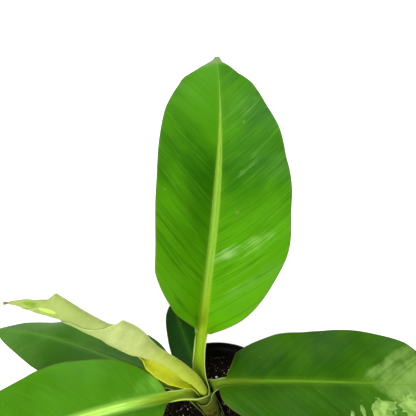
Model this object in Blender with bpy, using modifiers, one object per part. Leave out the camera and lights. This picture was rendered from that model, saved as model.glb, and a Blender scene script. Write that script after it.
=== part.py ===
"""A young banana plant in a black nursery pot.

Six leaves stand on one corm. Each leaf is a single sheet: its foot is a sheath that wraps the
younger leaves inside it, and together the sheaths make the stem. Above its throat the sheath
opens into a channelled stalk, which runs on as the midrib of the blade. The youngest leaf is
still rolled up. Metres, +Z up, origin at the centre of the pot's underside.
"""

import math
from dataclasses import dataclass

import bmesh
import bpy
import numpy as np
from mathutils import Vector

MM = 0.001
GAP = 0.3 * MM

# Pot
RIM_RADIUS = 76 * MM
COLLAR_STEP = 3 * MM
COLLAR_HEIGHT = 11 * MM
POT_HEIGHT = 125 * MM
BASE_RADIUS = 54 * MM
WALL = 1.6 * MM
FLOOR = 2.2 * MM
DRAIN_HOLES = 8
DRAIN_RADIUS = 4.5 * MM
DRAIN_CIRCLE = 40 * MM
TURN_STEPS = 44

# Soil
SOIL_TOP = 108 * MM
SOIL_RELIEF = 1.3 * MM
GRAINS = 26
GRAIN_SEED = 5

# Stem, which leans to the left
STEM_FOOT = np.array([1.0, -2.0, 100.0]) * MM
STEM_TOP = np.array([-13.3, -3.7, 178.0]) * MM
STEM_LENGTH = float(np.linalg.norm(STEM_TOP - STEM_FOOT))
STEM_UP = (STEM_TOP - STEM_FOOT) / STEM_LENGTH
SHEATH_CLOSED = 170.0
HOLE_RADIUS = 9.2 * MM

# Corm, the swollen foot of the stem, down in the soil
CORM_RADIUS = 12 * MM
CORM_DEPTH = 21 * MM

# Sheet thickness
SHEATH_THICK = 0.62 * MM
BLADE_THICK = 0.75 * MM
STALK_THICK = 2.6 * MM
ROLL_THICK = 0.62 * MM


@dataclass
class Leaf:
    """One open leaf. Lengths in millimetres, angles in degrees, L and R as seen from its foot."""

    sheath: float
    stalk: float
    blade: float
    foot_radius: float
    throat_radius: float
    around: float
    heading: float
    turn: float
    rise: float
    rise_tip: float
    bend: float
    roll: float
    roll_tip: float
    half_left: float
    half_right: float
    widest_left: float
    widest_right: float
    base_left: float
    base_right: float
    point_left: float
    point_right: float
    taper_left: float
    taper_right: float
    fold: float
    fold_tip: float
    droop: float
    throat_left: float = 95
    throat_right: float = 95
    channel: float = 4.5
    channel_open: float = 95
    neck: float = 18
    shoulder: float = 12
    wave: float = 1.5
    wave_length: float = 62
    wave_start: float = 0
    rows: int = 19


LEAVES = {
    "leaf_upright": Leaf(
        sheath=78, stalk=65.5, blade=297.5, foot_radius=2.7, throat_radius=6.2,
        around=118, heading=75, turn=19, rise=72, rise_tip=4, bend=0.55,
        roll=-37, roll_tip=4, half_left=66.5, half_right=66.5,
        widest_left=0.16, widest_right=0.30, base_left=1.35, base_right=1.74,
        point_left=3.2, point_right=2.25, taper_left=0.86, taper_right=1.02,
        fold=45, fold_tip=14, droop=7, throat_left=10, throat_right=130,
        channel=4.3, channel_open=84, neck=50, shoulder=34, rows=23,
    ),
    "leaf_front_left": Leaf(
        sheath=75, stalk=36, blade=192, foot_radius=3.9, throat_radius=7.5,
        around=200, heading=195, turn=14, rise=18, rise_tip=-28, bend=2.0,
        roll=6, roll_tip=4, half_left=47, half_right=47,
        widest_left=0.41, widest_right=0.41, base_left=1.75, base_right=1.75,
        point_left=2.15, point_right=2.15, taper_left=0.57, taper_right=0.57,
        fold=25, fold_tip=14, droop=20, throat_right=45, channel=3.4, wave_start=20,
    ),
    "leaf_right": Leaf(
        sheath=78, stalk=25, blade=201, foot_radius=5.2, throat_radius=9.1,
        around=5, heading=8, turn=-10, rise=-11, rise_tip=-2, bend=2.0,
        roll=3, roll_tip=-7, half_left=49.5, half_right=49.5,
        widest_left=0.63, widest_right=0.60, base_left=2.35, base_right=2.2,
        point_left=2.2, point_right=2.2, taper_left=0.64, taper_right=0.64,
        fold=18, fold_tip=14, droop=20, throat_left=70, channel=2.9, shoulder=18,
        wave_start=45,
    ),
    "leaf_left": Leaf(
        sheath=48, stalk=44, blade=190, foot_radius=6.55, throat_radius=10.7,
        around=156, heading=155, turn=11, rise=10, rise_tip=-20, bend=2.0,
        roll=13, roll_tip=-17, half_left=42, half_right=42,
        widest_left=0.36, widest_right=0.36, base_left=2.2, base_right=2.2,
        point_left=1.35, point_right=1.35, taper_left=0.66, taper_right=0.66,
        fold=2, fold_tip=-14, droop=25, throat_left=75, throat_right=70,
        channel=4.0, wave_start=10,
    ),
    "leaf_back": Leaf(
        sheath=27, stalk=42, blade=100, foot_radius=8.05, throat_radius=12.6,
        around=109, heading=109, turn=0, rise=-6, rise_tip=-16, bend=2.0,
        roll=10, roll_tip=10, half_left=19.5, half_right=16.5,
        widest_left=0.28, widest_right=0.28, base_left=1.8, base_right=1.8,
        point_left=2.0, point_right=2.0, taper_left=0.6, taper_right=0.6,
        fold=17, fold_tip=14, droop=20, throat_left=60, channel=3.6, wave=0.8,
        wave_length=45, rows=14,
    ),
}

# Rolled leaf: steps along it are (millimetres from where the roll starts, value)
ROLL_LENGTH = 215.0
ROLL_START = 76.0
ROLL_RISE = [(0, 77), (55, 62), (110, 41), (155, 37), (215, -26)]
ROLL_HEADING = 189.0
ROLL_TURN = -23.0
ROLL_REACH = 75.0
FLAP_ANGLE = 250.0
ROLL_INNER = [(0, -100), (40, -100), (125, -730)]
ROLL_MARGIN = [
    (0, 250), (102, 250), (127, 45), (157, -135),
    (175, -315), (184, -495), (215, -520),
]
ROLL_RADIUS = [
    (0, 4.25), (14, 5.2), (40, 6.3), (84, 6.6), (117, 9.2),
    (136, 8.0), (166, 10.4), (182, 7.9), (215, 4.1),
]
ROLL_PITCH = [(0, 0.3), (30, 0.3), (44, 1.0), (80, 1.6), (215, 1.6)]
ROLL_FLARE = [
    (0, 0), (34, 0.5), (66, 7), (98, 2.5), (127, 4),
    (137, 1.2), (152, 0.6), (166, 1.5), (175, 6), (184, 0.5),
]
ROLL_ROD_FOOT = 2.2 * MM
ROLL_ROD_TOP = 3.5 * MM
ROLL_ROD_REACH = 34 * MM


def unit(v):
    return v / np.linalg.norm(v, axis=-1, keepdims=True)


def ease(x):
    """0 to 1 with flat ends."""
    x = np.clip(x, 0, 1)
    return x * x * (3 - 2 * x)


def polar(heading, rise):
    """Unit vectors from compass heading and rise above the horizon, in degrees."""
    heading, rise = np.radians(heading), np.radians(rise)
    flat = np.cos(rise)
    return np.stack([flat * np.cos(heading), flat * np.sin(heading), np.sin(rise) + 0 * heading], -1)


def staircase(x, steps):
    """A smooth run through (x, value) steps."""
    out = np.full_like(x, steps[0][1], dtype=float)
    for (x0, v0), (x1, v1) in zip(steps[:-1], steps[1:]):
        out = out + (v1 - v0) * ease((x - x0) / (x1 - x0))
    return out


def running_sum(values, step):
    """The integral of rows of values taken at equal steps, from zero."""
    out = np.zeros_like(values)
    out[1:] = np.cumsum(0.5 * (values[1:] + values[:-1]) * step, 0)
    return out


def sample(s, fine, rows):
    return np.stack([np.interp(s, fine, rows[:, k]) for k in range(3)], -1)


def square_up(normal, tangent):
    """The normal made square to the tangent."""
    return unit(normal - (normal * tangent).sum(-1, keepdims=True) * tangent)


def sheath_radius(leaf, s):
    share = (np.clip(s, 0, leaf.sheath * MM) / STEM_LENGTH) ** 1.5
    return (leaf.foot_radius + (leaf.throat_radius - leaf.foot_radius) * share) * MM


def leaf_line(leaf, s):
    """Middle line of the upper face at arc lengths s: points, tangents, face normals, sideways."""
    out = polar(leaf.around, 0)
    out = unit(out - (out @ STEM_UP) * STEM_UP)
    sheath = leaf.sheath * MM
    whole = (leaf.sheath + leaf.stalk + leaf.blade) * MM
    fine = np.linspace(0, whole, 700)
    past = np.clip(fine - sheath, 0, None)
    x = past / (whole - sheath)
    rise = leaf.rise_tip + (leaf.rise - leaf.rise_tip) * (1 - x ** leaf.bend)
    heading = leaf.heading + leaf.turn * x
    ahead = polar(heading, rise)
    above = polar(heading, rise + 90)
    side = np.cross(ahead, above)
    roll = np.radians(leaf.roll + (leaf.roll_tip - leaf.roll) * x)[:, None]
    above = np.cos(roll) * above - np.sin(roll) * side
    hold = np.exp(-((past / (leaf.shoulder * MM)) ** 2))[:, None]
    tangent = unit(hold * STEM_UP + (1 - hold) * ahead)
    normal = square_up(hold * -out + (1 - hold) * above, tangent)
    points = STEM_FOOT + running_sum(tangent, fine[1]) + sheath_radius(leaf, fine)[:, None] * out
    tangent = unit(sample(s, fine, tangent))
    normal = square_up(sample(s, fine, normal), tangent)
    return sample(s, fine, points), tangent, normal, np.cross(tangent, normal)


def past_throat(leaf, s):
    """0 on the sheath, 1 where the leaf has drawn clear of the stem and is a narrow stalk."""
    return ease((s - leaf.sheath * MM - 6 * MM) / (leaf.neck * MM))


def half_blade(u, widest, base, point, taper):
    """Half width as a share: round at the base, full at the widest place, narrowing to the tip."""
    low = np.clip((widest - u) / widest, 0, 1)
    high = np.clip((u - widest) / (1 - widest), 0, 1)
    share = np.where(u < widest, (1 - low ** base) ** (1 / base), (1 - high ** point) ** taper)
    return share * (u > 0)


def half_width(leaf, s, u, side, radius, open_angle):
    """Arc length from the middle line to one margin: the channel's wall, then the blade."""
    left = side == "left"
    full = leaf.half_left if left else leaf.half_right
    blade = full * MM * half_blade(
        np.clip(u, 0, 1),
        leaf.widest_left if left else leaf.widest_right,
        leaf.base_left if left else leaf.base_right,
        leaf.point_left if left else leaf.point_right,
        leaf.taper_left if left else leaf.taper_right,
    )
    wall = radius * open_angle * (1 - ease(u / 0.25))
    return np.maximum(np.sqrt(wall**2 + blade**2), 0.8 * MM)


def leaf_face(leaf, s, t, fine=6):
    """The upper face: rows at arc lengths s, columns at shares t[row] from left margin to right.

    Across each row the sheet's direction turns by an angle phi(l) with distance l from the middle
    line. The row is the integral of (cos phi, sin phi): a circle of the channel's radius on the
    sheath and stalk, and on the blade a rounded V that droops towards the margins.
    """
    points, _, normal, side = leaf_line(leaf, s)
    u = (s - (leaf.sheath + leaf.stalk) * MM) / (leaf.blade * MM)
    stalk = past_throat(leaf, s)
    opening = ease((s / (leaf.sheath * MM) - 0.40) / 0.60)
    radius = sheath_radius(leaf, s) * (1 - stalk) + leaf.channel * MM * stalk
    widths = []
    for name, throat in (("left", leaf.throat_left), ("right", leaf.throat_right)):
        angle = SHEATH_CLOSED + (throat - SHEATH_CLOSED) * opening
        angle = np.radians(angle * (1 - stalk) + leaf.channel_open * stalk)
        widths.append(half_width(leaf, s, u, name, radius, angle)[:, None])
    count = t.shape[1]
    places = np.linspace(0, count - 1, (count - 1) * fine + 1)
    columns = np.stack([np.interp(places, np.arange(count), row) for row in t])
    dist = np.where(columns > 0, widths[1], widths[0]) * columns
    flat = ease((u + 0.06) / 0.13)[:, None]
    fold = np.radians(leaf.fold + (leaf.fold_tip - leaf.fold) * np.clip(u, 0, 1))[:, None]
    fold = np.where(np.abs(fold) < 0.02, 0.02, fold)
    away = np.abs(dist)
    channel = np.minimum(away / radius[:, None], math.pi)
    opened = fold * np.tanh(away / (np.abs(fold) * radius[:, None]))
    opened = opened - math.radians(leaf.droop) * away / (max(leaf.half_left, leaf.half_right) * MM)
    phi = np.sign(dist) * ((1 - flat) * channel + flat * opened)
    across = offset_from_middle(np.cos(phi), dist)
    lift = offset_from_middle(np.sin(phi), dist) + blade_wave(leaf, s, u, columns)
    face = points[:, None] + across[..., None] * side[:, None] + lift[..., None] * normal[:, None]
    return face[:, ::fine]


def offset_from_middle(slope, dist):
    """The integral of the slope over the distance along each row, zero on the middle line."""
    out = np.zeros_like(dist)
    out[:, 1:] = np.cumsum(0.5 * (slope[:, 1:] + slope[:, :-1]) * np.diff(dist, axis=1), axis=1)
    middle = dist.shape[1] // 2
    return out - out[:, middle : middle + 1]


def blade_wave(leaf, s, u, columns):
    """Gentle waves that grow towards the margins of the blade."""
    rise = ease(u / 0.25) * (1 - ease((u - 0.8) / 0.2))
    turn = 2 * math.pi * (s / MM + leaf.wave_start) / leaf.wave_length
    left = np.sin(turn)[:, None] * np.clip(-columns, 0, 1) ** 2
    right = np.sin(1.13 * turn + 1.9)[:, None] * np.clip(columns, 0, 1) ** 2
    return leaf.wave * MM * rise[:, None] * (left + right)


def leaf_thickness(leaf, s, t):
    """Thin sheath, thick stalk, and a midrib that tapers along the thin blade."""
    u = (s - (leaf.sheath + leaf.stalk) * MM) / (leaf.blade * MM)
    body = SHEATH_THICK + (STALK_THICK - SHEATH_THICK) * past_throat(leaf, s)
    rib = BLADE_THICK + (STALK_THICK * leaf.channel / 4.5 - BLADE_THICK) * (1 - np.clip(u, 0, 1)) ** 1.2
    flat = ease((u + 0.06) / 0.13)
    width = np.where(flat > 0.5, 0.10, 0.75)[:, None]
    middle = np.exp(-((t / width) ** 2))
    thin = SHEATH_THICK * (1 - flat) + BLADE_THICK * flat
    thick = body * (1 - flat) + rib * flat
    return thin[:, None] + (thick - thin)[:, None] * middle


def leaf_rows(leaf):
    """Arc lengths of the rows, closer together where the leaf bends and where its outline turns."""
    sheath = np.linspace(0, leaf.sheath, 9)[:-1]
    stalk = leaf.sheath + leaf.stalk * np.linspace(0, 1, 8)[:-1] ** 1.25
    share = np.linspace(0, 1, leaf.rows)
    blade = leaf.sheath + leaf.stalk + leaf.blade * (0.55 * share + 0.45 * ease(share))
    return np.concatenate([sheath, stalk, blade]) * MM


def leaf_columns(leaf, s, count):
    """Shares of the half width, even round the sheath and closer to the midrib on the blade."""
    q = np.linspace(-1, 1, count)[None]
    flat = ease((s - (leaf.sheath + leaf.stalk) * MM) / (20 * MM))[:, None]
    return np.sign(q) * np.abs(q) ** (1 + 0.25 * flat)


def new_material(name, colour, roughness, metallic=0.0):
    material = bpy.data.materials.new(name)
    material.use_nodes = True
    shader = material.node_tree.nodes["Principled BSDF"]
    shader.inputs["Base Color"].default_value = (*colour, 1)
    shader.inputs["Roughness"].default_value = roughness
    shader.inputs["Metallic"].default_value = metallic
    material.diffuse_color = (*colour, 1)
    return material


def finish(obj, material, smooth_angle=35):
    obj.data.materials.append(material)
    obj.data.shade_smooth()
    obj.data.set_sharp_from_angle(angle=math.radians(smooth_angle))
    return obj


def new_object(name, mesh, collection):
    obj = bpy.data.objects.new(name, mesh)
    collection.objects.link(obj)
    return obj


def sheet(name, face, thickness, collection):
    """A sheet from a grid of points: its upper face, thickened away from the face's normal."""
    rows, columns = face.shape[:2]
    bm = bmesh.new()
    bmesh.ops.create_grid(bm, x_segments=columns - 1, y_segments=rows - 1, size=0.5)
    bm.verts.ensure_lookup_table()
    for vert in bm.verts:
        i = round((vert.co.y + 0.5) * (rows - 1))
        j = round((vert.co.x + 0.5) * (columns - 1))
        vert.index = i * columns + j
    bm.verts.sort()
    for vert, point in zip(bm.verts, face.reshape(-1, 3)):
        vert.co = point
    bmesh.ops.triangulate(bm, faces=bm.faces[:], quad_method="FIXED")
    mesh = bpy.data.meshes.new(name)
    bm.to_mesh(mesh)
    bm.free()
    obj = new_object(name, mesh, collection)
    group = obj.vertex_groups.new(name="thickness")
    most = float(thickness.max())
    for index, value in enumerate(thickness.reshape(-1)):
        group.add([index], float(value) / most, "REPLACE")
    solidify = obj.modifiers.new("Sheet", "SOLIDIFY")
    solidify.thickness = most
    solidify.offset = -1
    solidify.vertex_group = group.name
    solidify.thickness_vertex_group = 0
    return obj


def open_leaf(name, leaf, material, collection):
    s = leaf_rows(leaf)
    t = leaf_columns(leaf, s, 13)
    obj = sheet(name, leaf_face(leaf, s, t), leaf_thickness(leaf, s, t), collection)
    return finish(obj, material, 60)


def roll_line(s):
    """Axis of the rolled leaf at arc lengths s from the crown."""
    fine = np.linspace(0, ROLL_LENGTH * MM, 500)
    x = fine / (ROLL_LENGTH * MM)
    rise = np.interp(fine / MM, *zip(*ROLL_RISE))
    ahead = polar(ROLL_HEADING + ROLL_TURN * x, rise)
    above = polar(ROLL_HEADING + ROLL_TURN * x, rise + 90)
    hold = np.exp(-((fine / (12 * MM)) ** 2))[:, None]
    tangent = unit(hold * STEM_UP + (1 - hold) * ahead)
    points = STEM_FOOT + STEM_UP * ROLL_START * MM + running_sum(tangent, fine[1])
    tangent = unit(sample(s, fine, tangent))
    normal = square_up(sample(s, fine, above), tangent)
    return sample(s, fine, points), tangent, normal, np.cross(tangent, normal)


def roll_face(s, q):
    """Inner face of the rolled leaf: rows at arc lengths s, columns from inner to outer margin.

    Each row is a spiral about the axis. Its outer margin runs back round the roll towards the
    tip, which leaves a step and a free corner at each turn, and near the margin the sheet flares.
    Low down the inner margin dips into the stalk, which ends inside the roll.
    """
    points, _, normal, side = roll_line(s)
    mm = s / MM
    begin = np.radians(staircase(mm, ROLL_INNER))[:, None]
    end = np.radians(staircase(mm, ROLL_MARGIN))[:, None]
    angle = begin + (end - begin) * q
    turns = (angle - math.radians(FLAP_ANGLE)) / (2 * math.pi)
    radius = staircase(mm, ROLL_RADIUS)[:, None] + staircase(mm, ROLL_PITCH)[:, None] * turns
    near = np.clip(1 - (end - angle) / math.radians(ROLL_REACH), 0, 1)
    radius = radius + staircase(mm, ROLL_FLARE)[:, None] * near**1.7
    dip = np.clip(1 - (angle - begin) / math.radians(25), 0, 1) * (1 - ease((mm[:, None] - 34) / 8))
    radius = (radius - 1.6 * dip) * MM
    away = np.cos(angle)[..., None] * normal[:, None] + np.sin(angle)[..., None] * side[:, None]
    return points[:, None] + radius[..., None] * away


def rolled_leaf(name, material, collection, cutters):
    """The scroll, joined to the closed stalk that rises inside the sheaths."""
    s = ROLL_LENGTH * MM * np.linspace(0, 1, 34)
    q = np.linspace(0, 1, 31)
    face = roll_face(s, q)
    scroll = sheet(name, face, np.full(face.shape[:2], ROLL_THICK), collection)
    points = rod_points()
    rod = round_bar(name + "_stalk", points, np.linspace(ROLL_ROD_FOOT, ROLL_ROD_TOP, len(points)), cutters)
    join = scroll.modifiers.new("Stalk", "BOOLEAN")
    join.operation = "UNION"
    join.object = rod
    return finish(scroll, material, 60)


def rod_points():
    """Up the middle of the stem and on into the start of the roll."""
    low = STEM_FOOT + STEM_UP * np.linspace(0, ROLL_START * MM, 7)[:-1, None]
    high = roll_line(np.linspace(0, ROLL_ROD_REACH, 7))[0]
    return np.concatenate([low, high])


def round_bar(name, points, radii, collection):
    """A bevelled curve through the points, thicker or thinner along its way, as a closed mesh."""
    curve = bpy.data.curves.new(name, "CURVE")
    curve.dimensions = "3D"
    curve.bevel_depth = 1.0
    curve.bevel_resolution = 2
    curve.use_fill_caps = True
    spline = curve.splines.new("POLY")
    spline.points.add(len(points) - 1)
    for point, place, radius in zip(spline.points, points, radii):
        point.co = (*place, 1)
        point.radius = radius
    guide = new_object(name + "_guide", curve, collection)
    bpy.context.view_layer.update()
    mesh = bpy.data.meshes.new_from_object(guide.evaluated_get(bpy.context.evaluated_depsgraph_get()))
    bar = new_object(name, mesh, collection)
    bar.matrix_world = guide.matrix_world.copy()
    bpy.data.objects.remove(guide)
    weld(mesh)
    return bar


def weld(mesh):
    bm = bmesh.new()
    bm.from_mesh(mesh)
    bmesh.ops.remove_doubles(bm, verts=bm.verts[:], dist=1e-5)
    bmesh.ops.recalc_face_normals(bm, faces=bm.faces[:])
    bm.to_mesh(mesh)
    bm.free()


def turned(name, profile, steps, collection):
    """A turned piece: the profile's (radius, height) points swept round Z."""
    bm = bmesh.new()
    verts = [bm.verts.new((r, 0, z)) for r, z in profile]
    for a, b in zip(verts[:-1], verts[1:]):
        bm.edges.new((a, b))
    mesh = bpy.data.meshes.new(name)
    bm.to_mesh(mesh)
    bm.free()
    obj = new_object(name, mesh, collection)
    screw = obj.modifiers.new("Turn", "SCREW")
    screw.steps = steps
    screw.render_steps = steps
    screw.use_merge_vertices = True
    screw.merge_threshold = 0.00001
    screw.use_normal_calculate = True
    return obj


def wall_radius(z):
    """Outer radius of the pot's wall at height z."""
    under_collar = POT_HEIGHT - COLLAR_HEIGHT
    return BASE_RADIUS + (RIM_RADIUS - COLLAR_STEP - BASE_RADIUS) * z / under_collar


def make_pot(material, collection, cutters):
    under = POT_HEIGHT - COLLAR_HEIGHT
    inner_under = under + 1.5 * MM
    profile = [
        (0, FLOOR),
        (wall_radius(FLOOR) - WALL - 1.5 * MM, FLOOR),
        (wall_radius(FLOOR + 1.5 * MM) - WALL, FLOOR + 1.5 * MM),
        (wall_radius(inner_under) - WALL, inner_under),
        (RIM_RADIUS - WALL, inner_under + 1.2 * MM),
        (RIM_RADIUS - WALL, POT_HEIGHT - 0.5 * MM),
        (RIM_RADIUS - WALL + 0.5 * MM, POT_HEIGHT),
        (RIM_RADIUS - 0.5 * MM, POT_HEIGHT),
        (RIM_RADIUS, POT_HEIGHT - 0.5 * MM),
        (RIM_RADIUS, under),
        (wall_radius(under), under),
        (wall_radius(2 * MM), 2 * MM),
        (wall_radius(0) - 1.5 * MM, 0),
        (0, 0),
    ]
    pot = turned("pot", profile, TURN_STEPS, collection)
    for k in range(DRAIN_HOLES):
        turn = 2 * math.pi * (k + 0.5) / DRAIN_HOLES
        place = (DRAIN_CIRCLE * math.cos(turn), DRAIN_CIRCLE * math.sin(turn), FLOOR / 2)
        drill(pot, f"drain_{k + 1}", place, Vector((0, 0, 1)), DRAIN_RADIUS, 3 * FLOOR, cutters, 12)
    return finish(pot, material)


def drill(obj, name, place, direction, radius, depth, cutters, sides=24):
    """Cuts a round hole: a cylinder centred at place along the direction."""
    bm = bmesh.new()
    bmesh.ops.create_cone(bm, cap_ends=True, segments=sides, radius1=radius, radius2=radius, depth=depth)
    mesh = bpy.data.meshes.new(name)
    bm.to_mesh(mesh)
    bm.free()
    cutter = new_object(name, mesh, cutters)
    cutter.location = place
    cutter.rotation_mode = "QUATERNION"
    cutter.rotation_quaternion = direction.to_track_quat("Z", "Y")
    cut = obj.modifiers.new(name, "BOOLEAN")
    cut.operation = "DIFFERENCE"
    cut.object = cutter


def soil_height(x, y):
    """Height of the soil over its mean level, from a few crossed waves."""
    a, b = x / MM, y / MM
    waves = np.sin(0.19 * a + 0.6) * np.cos(0.23 * b) + 0.6 * np.sin(0.27 * a - 0.24 * b + 1.1)
    waves = waves + 0.5 * np.sin(0.31 * b + 0.36 * a) + 0.4 * np.sin(0.44 * a - 0.17 * b)
    return SOIL_RELIEF * waves / 2


def make_soil(material, collection, cutters):
    """The filled-in soil with an uneven top, grains half sunk in it, and the hole for the stem."""
    inside = wall_radius(SOIL_TOP) - WALL - GAP
    rings = [(inside * k / 8, SOIL_TOP) for k in range(9)]
    low = FLOOR + GAP
    profile = rings + [
        (wall_radius(low + 1.5 * MM) - WALL - GAP, low + 1.5 * MM),
        (wall_radius(low) - WALL - 1.6 * MM - GAP, low),
        (0, low),
    ]
    soil = turned("soil", profile, TURN_STEPS, collection)
    apply_modifiers(soil)
    for vert in soil.data.vertices:
        if vert.co.z > SOIL_TOP - MM:
            share = 1 - ease((math.hypot(vert.co.x, vert.co.y) / inside - 0.93) / 0.07)
            vert.co.z += float(soil_height(vert.co.x, vert.co.y) * share)
    grains = bpy.data.collections.new("grains")
    cutters.children.link(grains)
    scatter_grains(grains, soil, inside)
    join = soil.modifiers.new("Grains", "BOOLEAN")
    join.operation = "UNION"
    join.operand_type = "COLLECTION"
    join.collection = grains
    apply_modifiers(soil)
    for grain in list(grains.objects):
        bpy.data.objects.remove(grain)
    up = Vector(STEM_UP)
    foot = Vector(STEM_FOOT)
    drill(soil, "stem_hole", foot + up * 10 * MM, up, HOLE_RADIUS, 30 * MM, cutters)
    corm_room = corm_body("corm_room", CORM_RADIUS + GAP, CORM_DEPTH + 2 * GAP, cutters)
    corm_room.location = foot
    room = soil.modifiers.new("corm_room", "BOOLEAN")
    room.operation = "DIFFERENCE"
    room.object = corm_room
    return finish(soil, material, 25)


def scatter_grains(collection, soil, inside):
    """Rounded grains of several sizes, half sunk in the soil, clear of the stem and of each other."""
    rng = np.random.default_rng(GRAIN_SEED)
    placed = []
    while len(placed) < GRAINS:
        reach = inside * math.sqrt(rng.uniform(0.05, 0.86))
        turn = rng.uniform(0, 2 * math.pi)
        size = rng.uniform(1.1, 2.1) * MM
        x, y = reach * math.cos(turn), reach * math.sin(turn)
        squash = rng.uniform(0.6, 1.0)
        clear = all(math.hypot(x - a, y - b) > size + c + MM for a, b, c in placed)
        if not clear or math.hypot(x - STEM_FOOT[0], y - STEM_FOOT[1]) < 14 * MM:
            continue
        placed.append((x, y, size))
        bm = bmesh.new()
        bmesh.ops.create_icosphere(bm, subdivisions=1, radius=size)
        mesh = bpy.data.meshes.new(f"grain_{len(placed)}")
        bm.to_mesh(mesh)
        bm.free()
        grain = new_object(mesh.name, mesh, collection)
        ground = soil.ray_cast(Vector((x, y, POT_HEIGHT)), Vector((0, 0, -1)))[1]
        grain.location = ground + Vector((0, 0, 0.1 * size))
        grain.rotation_euler = (turn, squash, turn)
        grain.scale = (1, squash, 0.8)


def apply_modifiers(obj):
    """The object's mesh as its modifiers leave it."""
    bpy.context.view_layer.update()
    mesh = bpy.data.meshes.new_from_object(obj.evaluated_get(bpy.context.evaluated_depsgraph_get()))
    obj.modifiers.clear()
    obj.data = mesh


def corm_body(name, radius, depth, collection):
    """A rounded bulb hanging below its flat top, square to the stem."""
    shoulder = math.radians(40)
    turns = np.linspace(shoulder, -math.pi / 2, 9)
    height = depth * (np.sin(turns) - math.sin(shoulder)) / (1 + math.sin(shoulder))
    profile = [(0, 0), *zip(radius * np.cos(turns), height)]
    profile[-1] = (0, height[-1])
    body = turned(name, profile, 20, collection)
    body.rotation_mode = "QUATERNION"
    body.rotation_quaternion = Vector(STEM_UP).to_track_quat("Z", "Y")
    return body


def make_corm(material, collection):
    corm = corm_body("corm", CORM_RADIUS, CORM_DEPTH, collection)
    corm.location = Vector(STEM_FOOT - STEM_UP * GAP)
    return finish(corm, material)


def clear_scene():
    for obj in list(bpy.data.objects):
        bpy.data.objects.remove(obj)


def main():
    clear_scene()
    scene = bpy.context.scene.collection
    plant = bpy.data.collections.new("potted_banana_plant")
    cutters = bpy.data.collections.new("cutters")
    scene.children.link(plant)
    scene.children.link(cutters)
    cutters.hide_render = True

    fresh = new_material("leaf_fresh", (0.16, 0.42, 0.03), 0.38)
    old = new_material("leaf_old", (0.05, 0.20, 0.02), 0.42)
    pale = new_material("leaf_rolled", (0.52, 0.66, 0.20), 0.45)
    make_pot(new_material("pot_plastic", (0.012, 0.012, 0.013), 0.5), plant, cutters)
    make_soil(new_material("soil", (0.02, 0.015, 0.011), 0.95), plant, cutters)
    make_corm(new_material("corm", (0.30, 0.22, 0.12), 0.8), plant)
    rolled_leaf("leaf_rolled", pale, plant, cutters)
    for name, leaf in LEAVES.items():
        open_leaf(name, leaf, old if name in ("leaf_left", "leaf_back") else fresh, plant)
    for cutter in cutters.all_objects:
        cutter.hide_render = True
        cutter.display_type = "WIRE"


main()
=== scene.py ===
"""Looks of a young banana plant in a black nursery pot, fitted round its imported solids.

Each leaf is one closed thin sheet, worked out on a grid of two parameters: the arc length along its
middle line and the share of its half width. Metres, +Z up, origin under the middle of the pot.
"""

import math
from dataclasses import dataclass, replace

import bmesh
import bpy
import numpy as np
from bpy.props import FloatProperty, FloatVectorProperty, IntProperty, PointerProperty
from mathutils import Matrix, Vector


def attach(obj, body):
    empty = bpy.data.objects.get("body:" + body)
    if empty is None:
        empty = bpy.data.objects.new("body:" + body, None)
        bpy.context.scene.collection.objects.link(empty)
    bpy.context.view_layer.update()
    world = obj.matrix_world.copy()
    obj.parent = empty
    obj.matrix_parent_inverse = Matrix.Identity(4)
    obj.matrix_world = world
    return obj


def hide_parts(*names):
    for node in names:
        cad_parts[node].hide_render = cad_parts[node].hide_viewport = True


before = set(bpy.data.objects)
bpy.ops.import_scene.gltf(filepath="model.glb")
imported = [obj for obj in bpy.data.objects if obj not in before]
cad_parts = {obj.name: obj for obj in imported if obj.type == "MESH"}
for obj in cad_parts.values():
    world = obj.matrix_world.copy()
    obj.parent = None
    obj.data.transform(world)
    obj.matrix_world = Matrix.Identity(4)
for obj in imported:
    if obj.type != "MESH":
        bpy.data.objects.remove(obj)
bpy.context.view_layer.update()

bl_info = {
    "name": "Potted banana plant",
    "version": (1, 0, 0),
    "blender": (4, 5, 0),
    "location": "View3D > Sidebar > Plant",
    "description": "Builds the leaves, soil, pot and studio of a potted banana plant",
    "category": "Object",
}

MM = 0.001

# Pot and soil
POT_STEPS = 192
DRAIN_HOLES = 8
DRAIN_BAND = (33 * MM, 47 * MM)
FLOOR_RINGS = 6
SOIL_RINGS = 110
SOIL_STEPS = 320
SOIL_GAP = 0.3 * MM

# Grains on the soil: radii in mm, stretch, unevenness, fineness of the ball, lift as a share of
# the radius. Fibres: ranges of length, lift and radius in mm, steps along each, and their wander.
GRAINS = {
    "perlite": ((0.5, 1.75), (1, 0.9, 0.8), 0.16, 2, 0.15),
    "dust": ((0.15, 0.4), (1, 1, 1), 0.2, 1, 0.2),
    "bark": ((0.9, 2.6), (1, 0.5, 0.28), 0.22, 1, 0.1),
}
FIBRE_LENGTHS, FIBRE_LIFTS, FIBRE_RADII = (5, 16), (0.1, 1.2), (0.10, 0.24)
FIBRE_STEPS = 12
FIBRE_WANDER = 1.6

# Stem, which leans to the left
STEM_FOOT = np.array([1.0, -2.0, 100.0]) * MM
STEM_TOP = np.array([-13.3, -3.7, 178.0]) * MM
STEM_LENGTH = float(np.linalg.norm(STEM_TOP - STEM_FOOT))
STEM_UP = (STEM_TOP - STEM_FOOT) / STEM_LENGTH

# Grids of the leaves, and the fine steps by which their middle lines are added up
LINE_STEPS = 700
STALK_ROWS = 40
BLADE_ROWS_PER_MM = 0.75
LEAF_COLUMNS = 97
ROLL_LINE_STEPS = 500
ROLL_ROWS = 236
ROLL_COLUMNS = 201

# Where a leaf draws clear of the stem, and the round nub at a blade's tip, as shares of the blade
THROAT_LIP = 6 * MM
NUB_MIDDLE, NUB_START = 0.98, 0.984
THINNEST_HALF = 0.4 * MM

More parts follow.
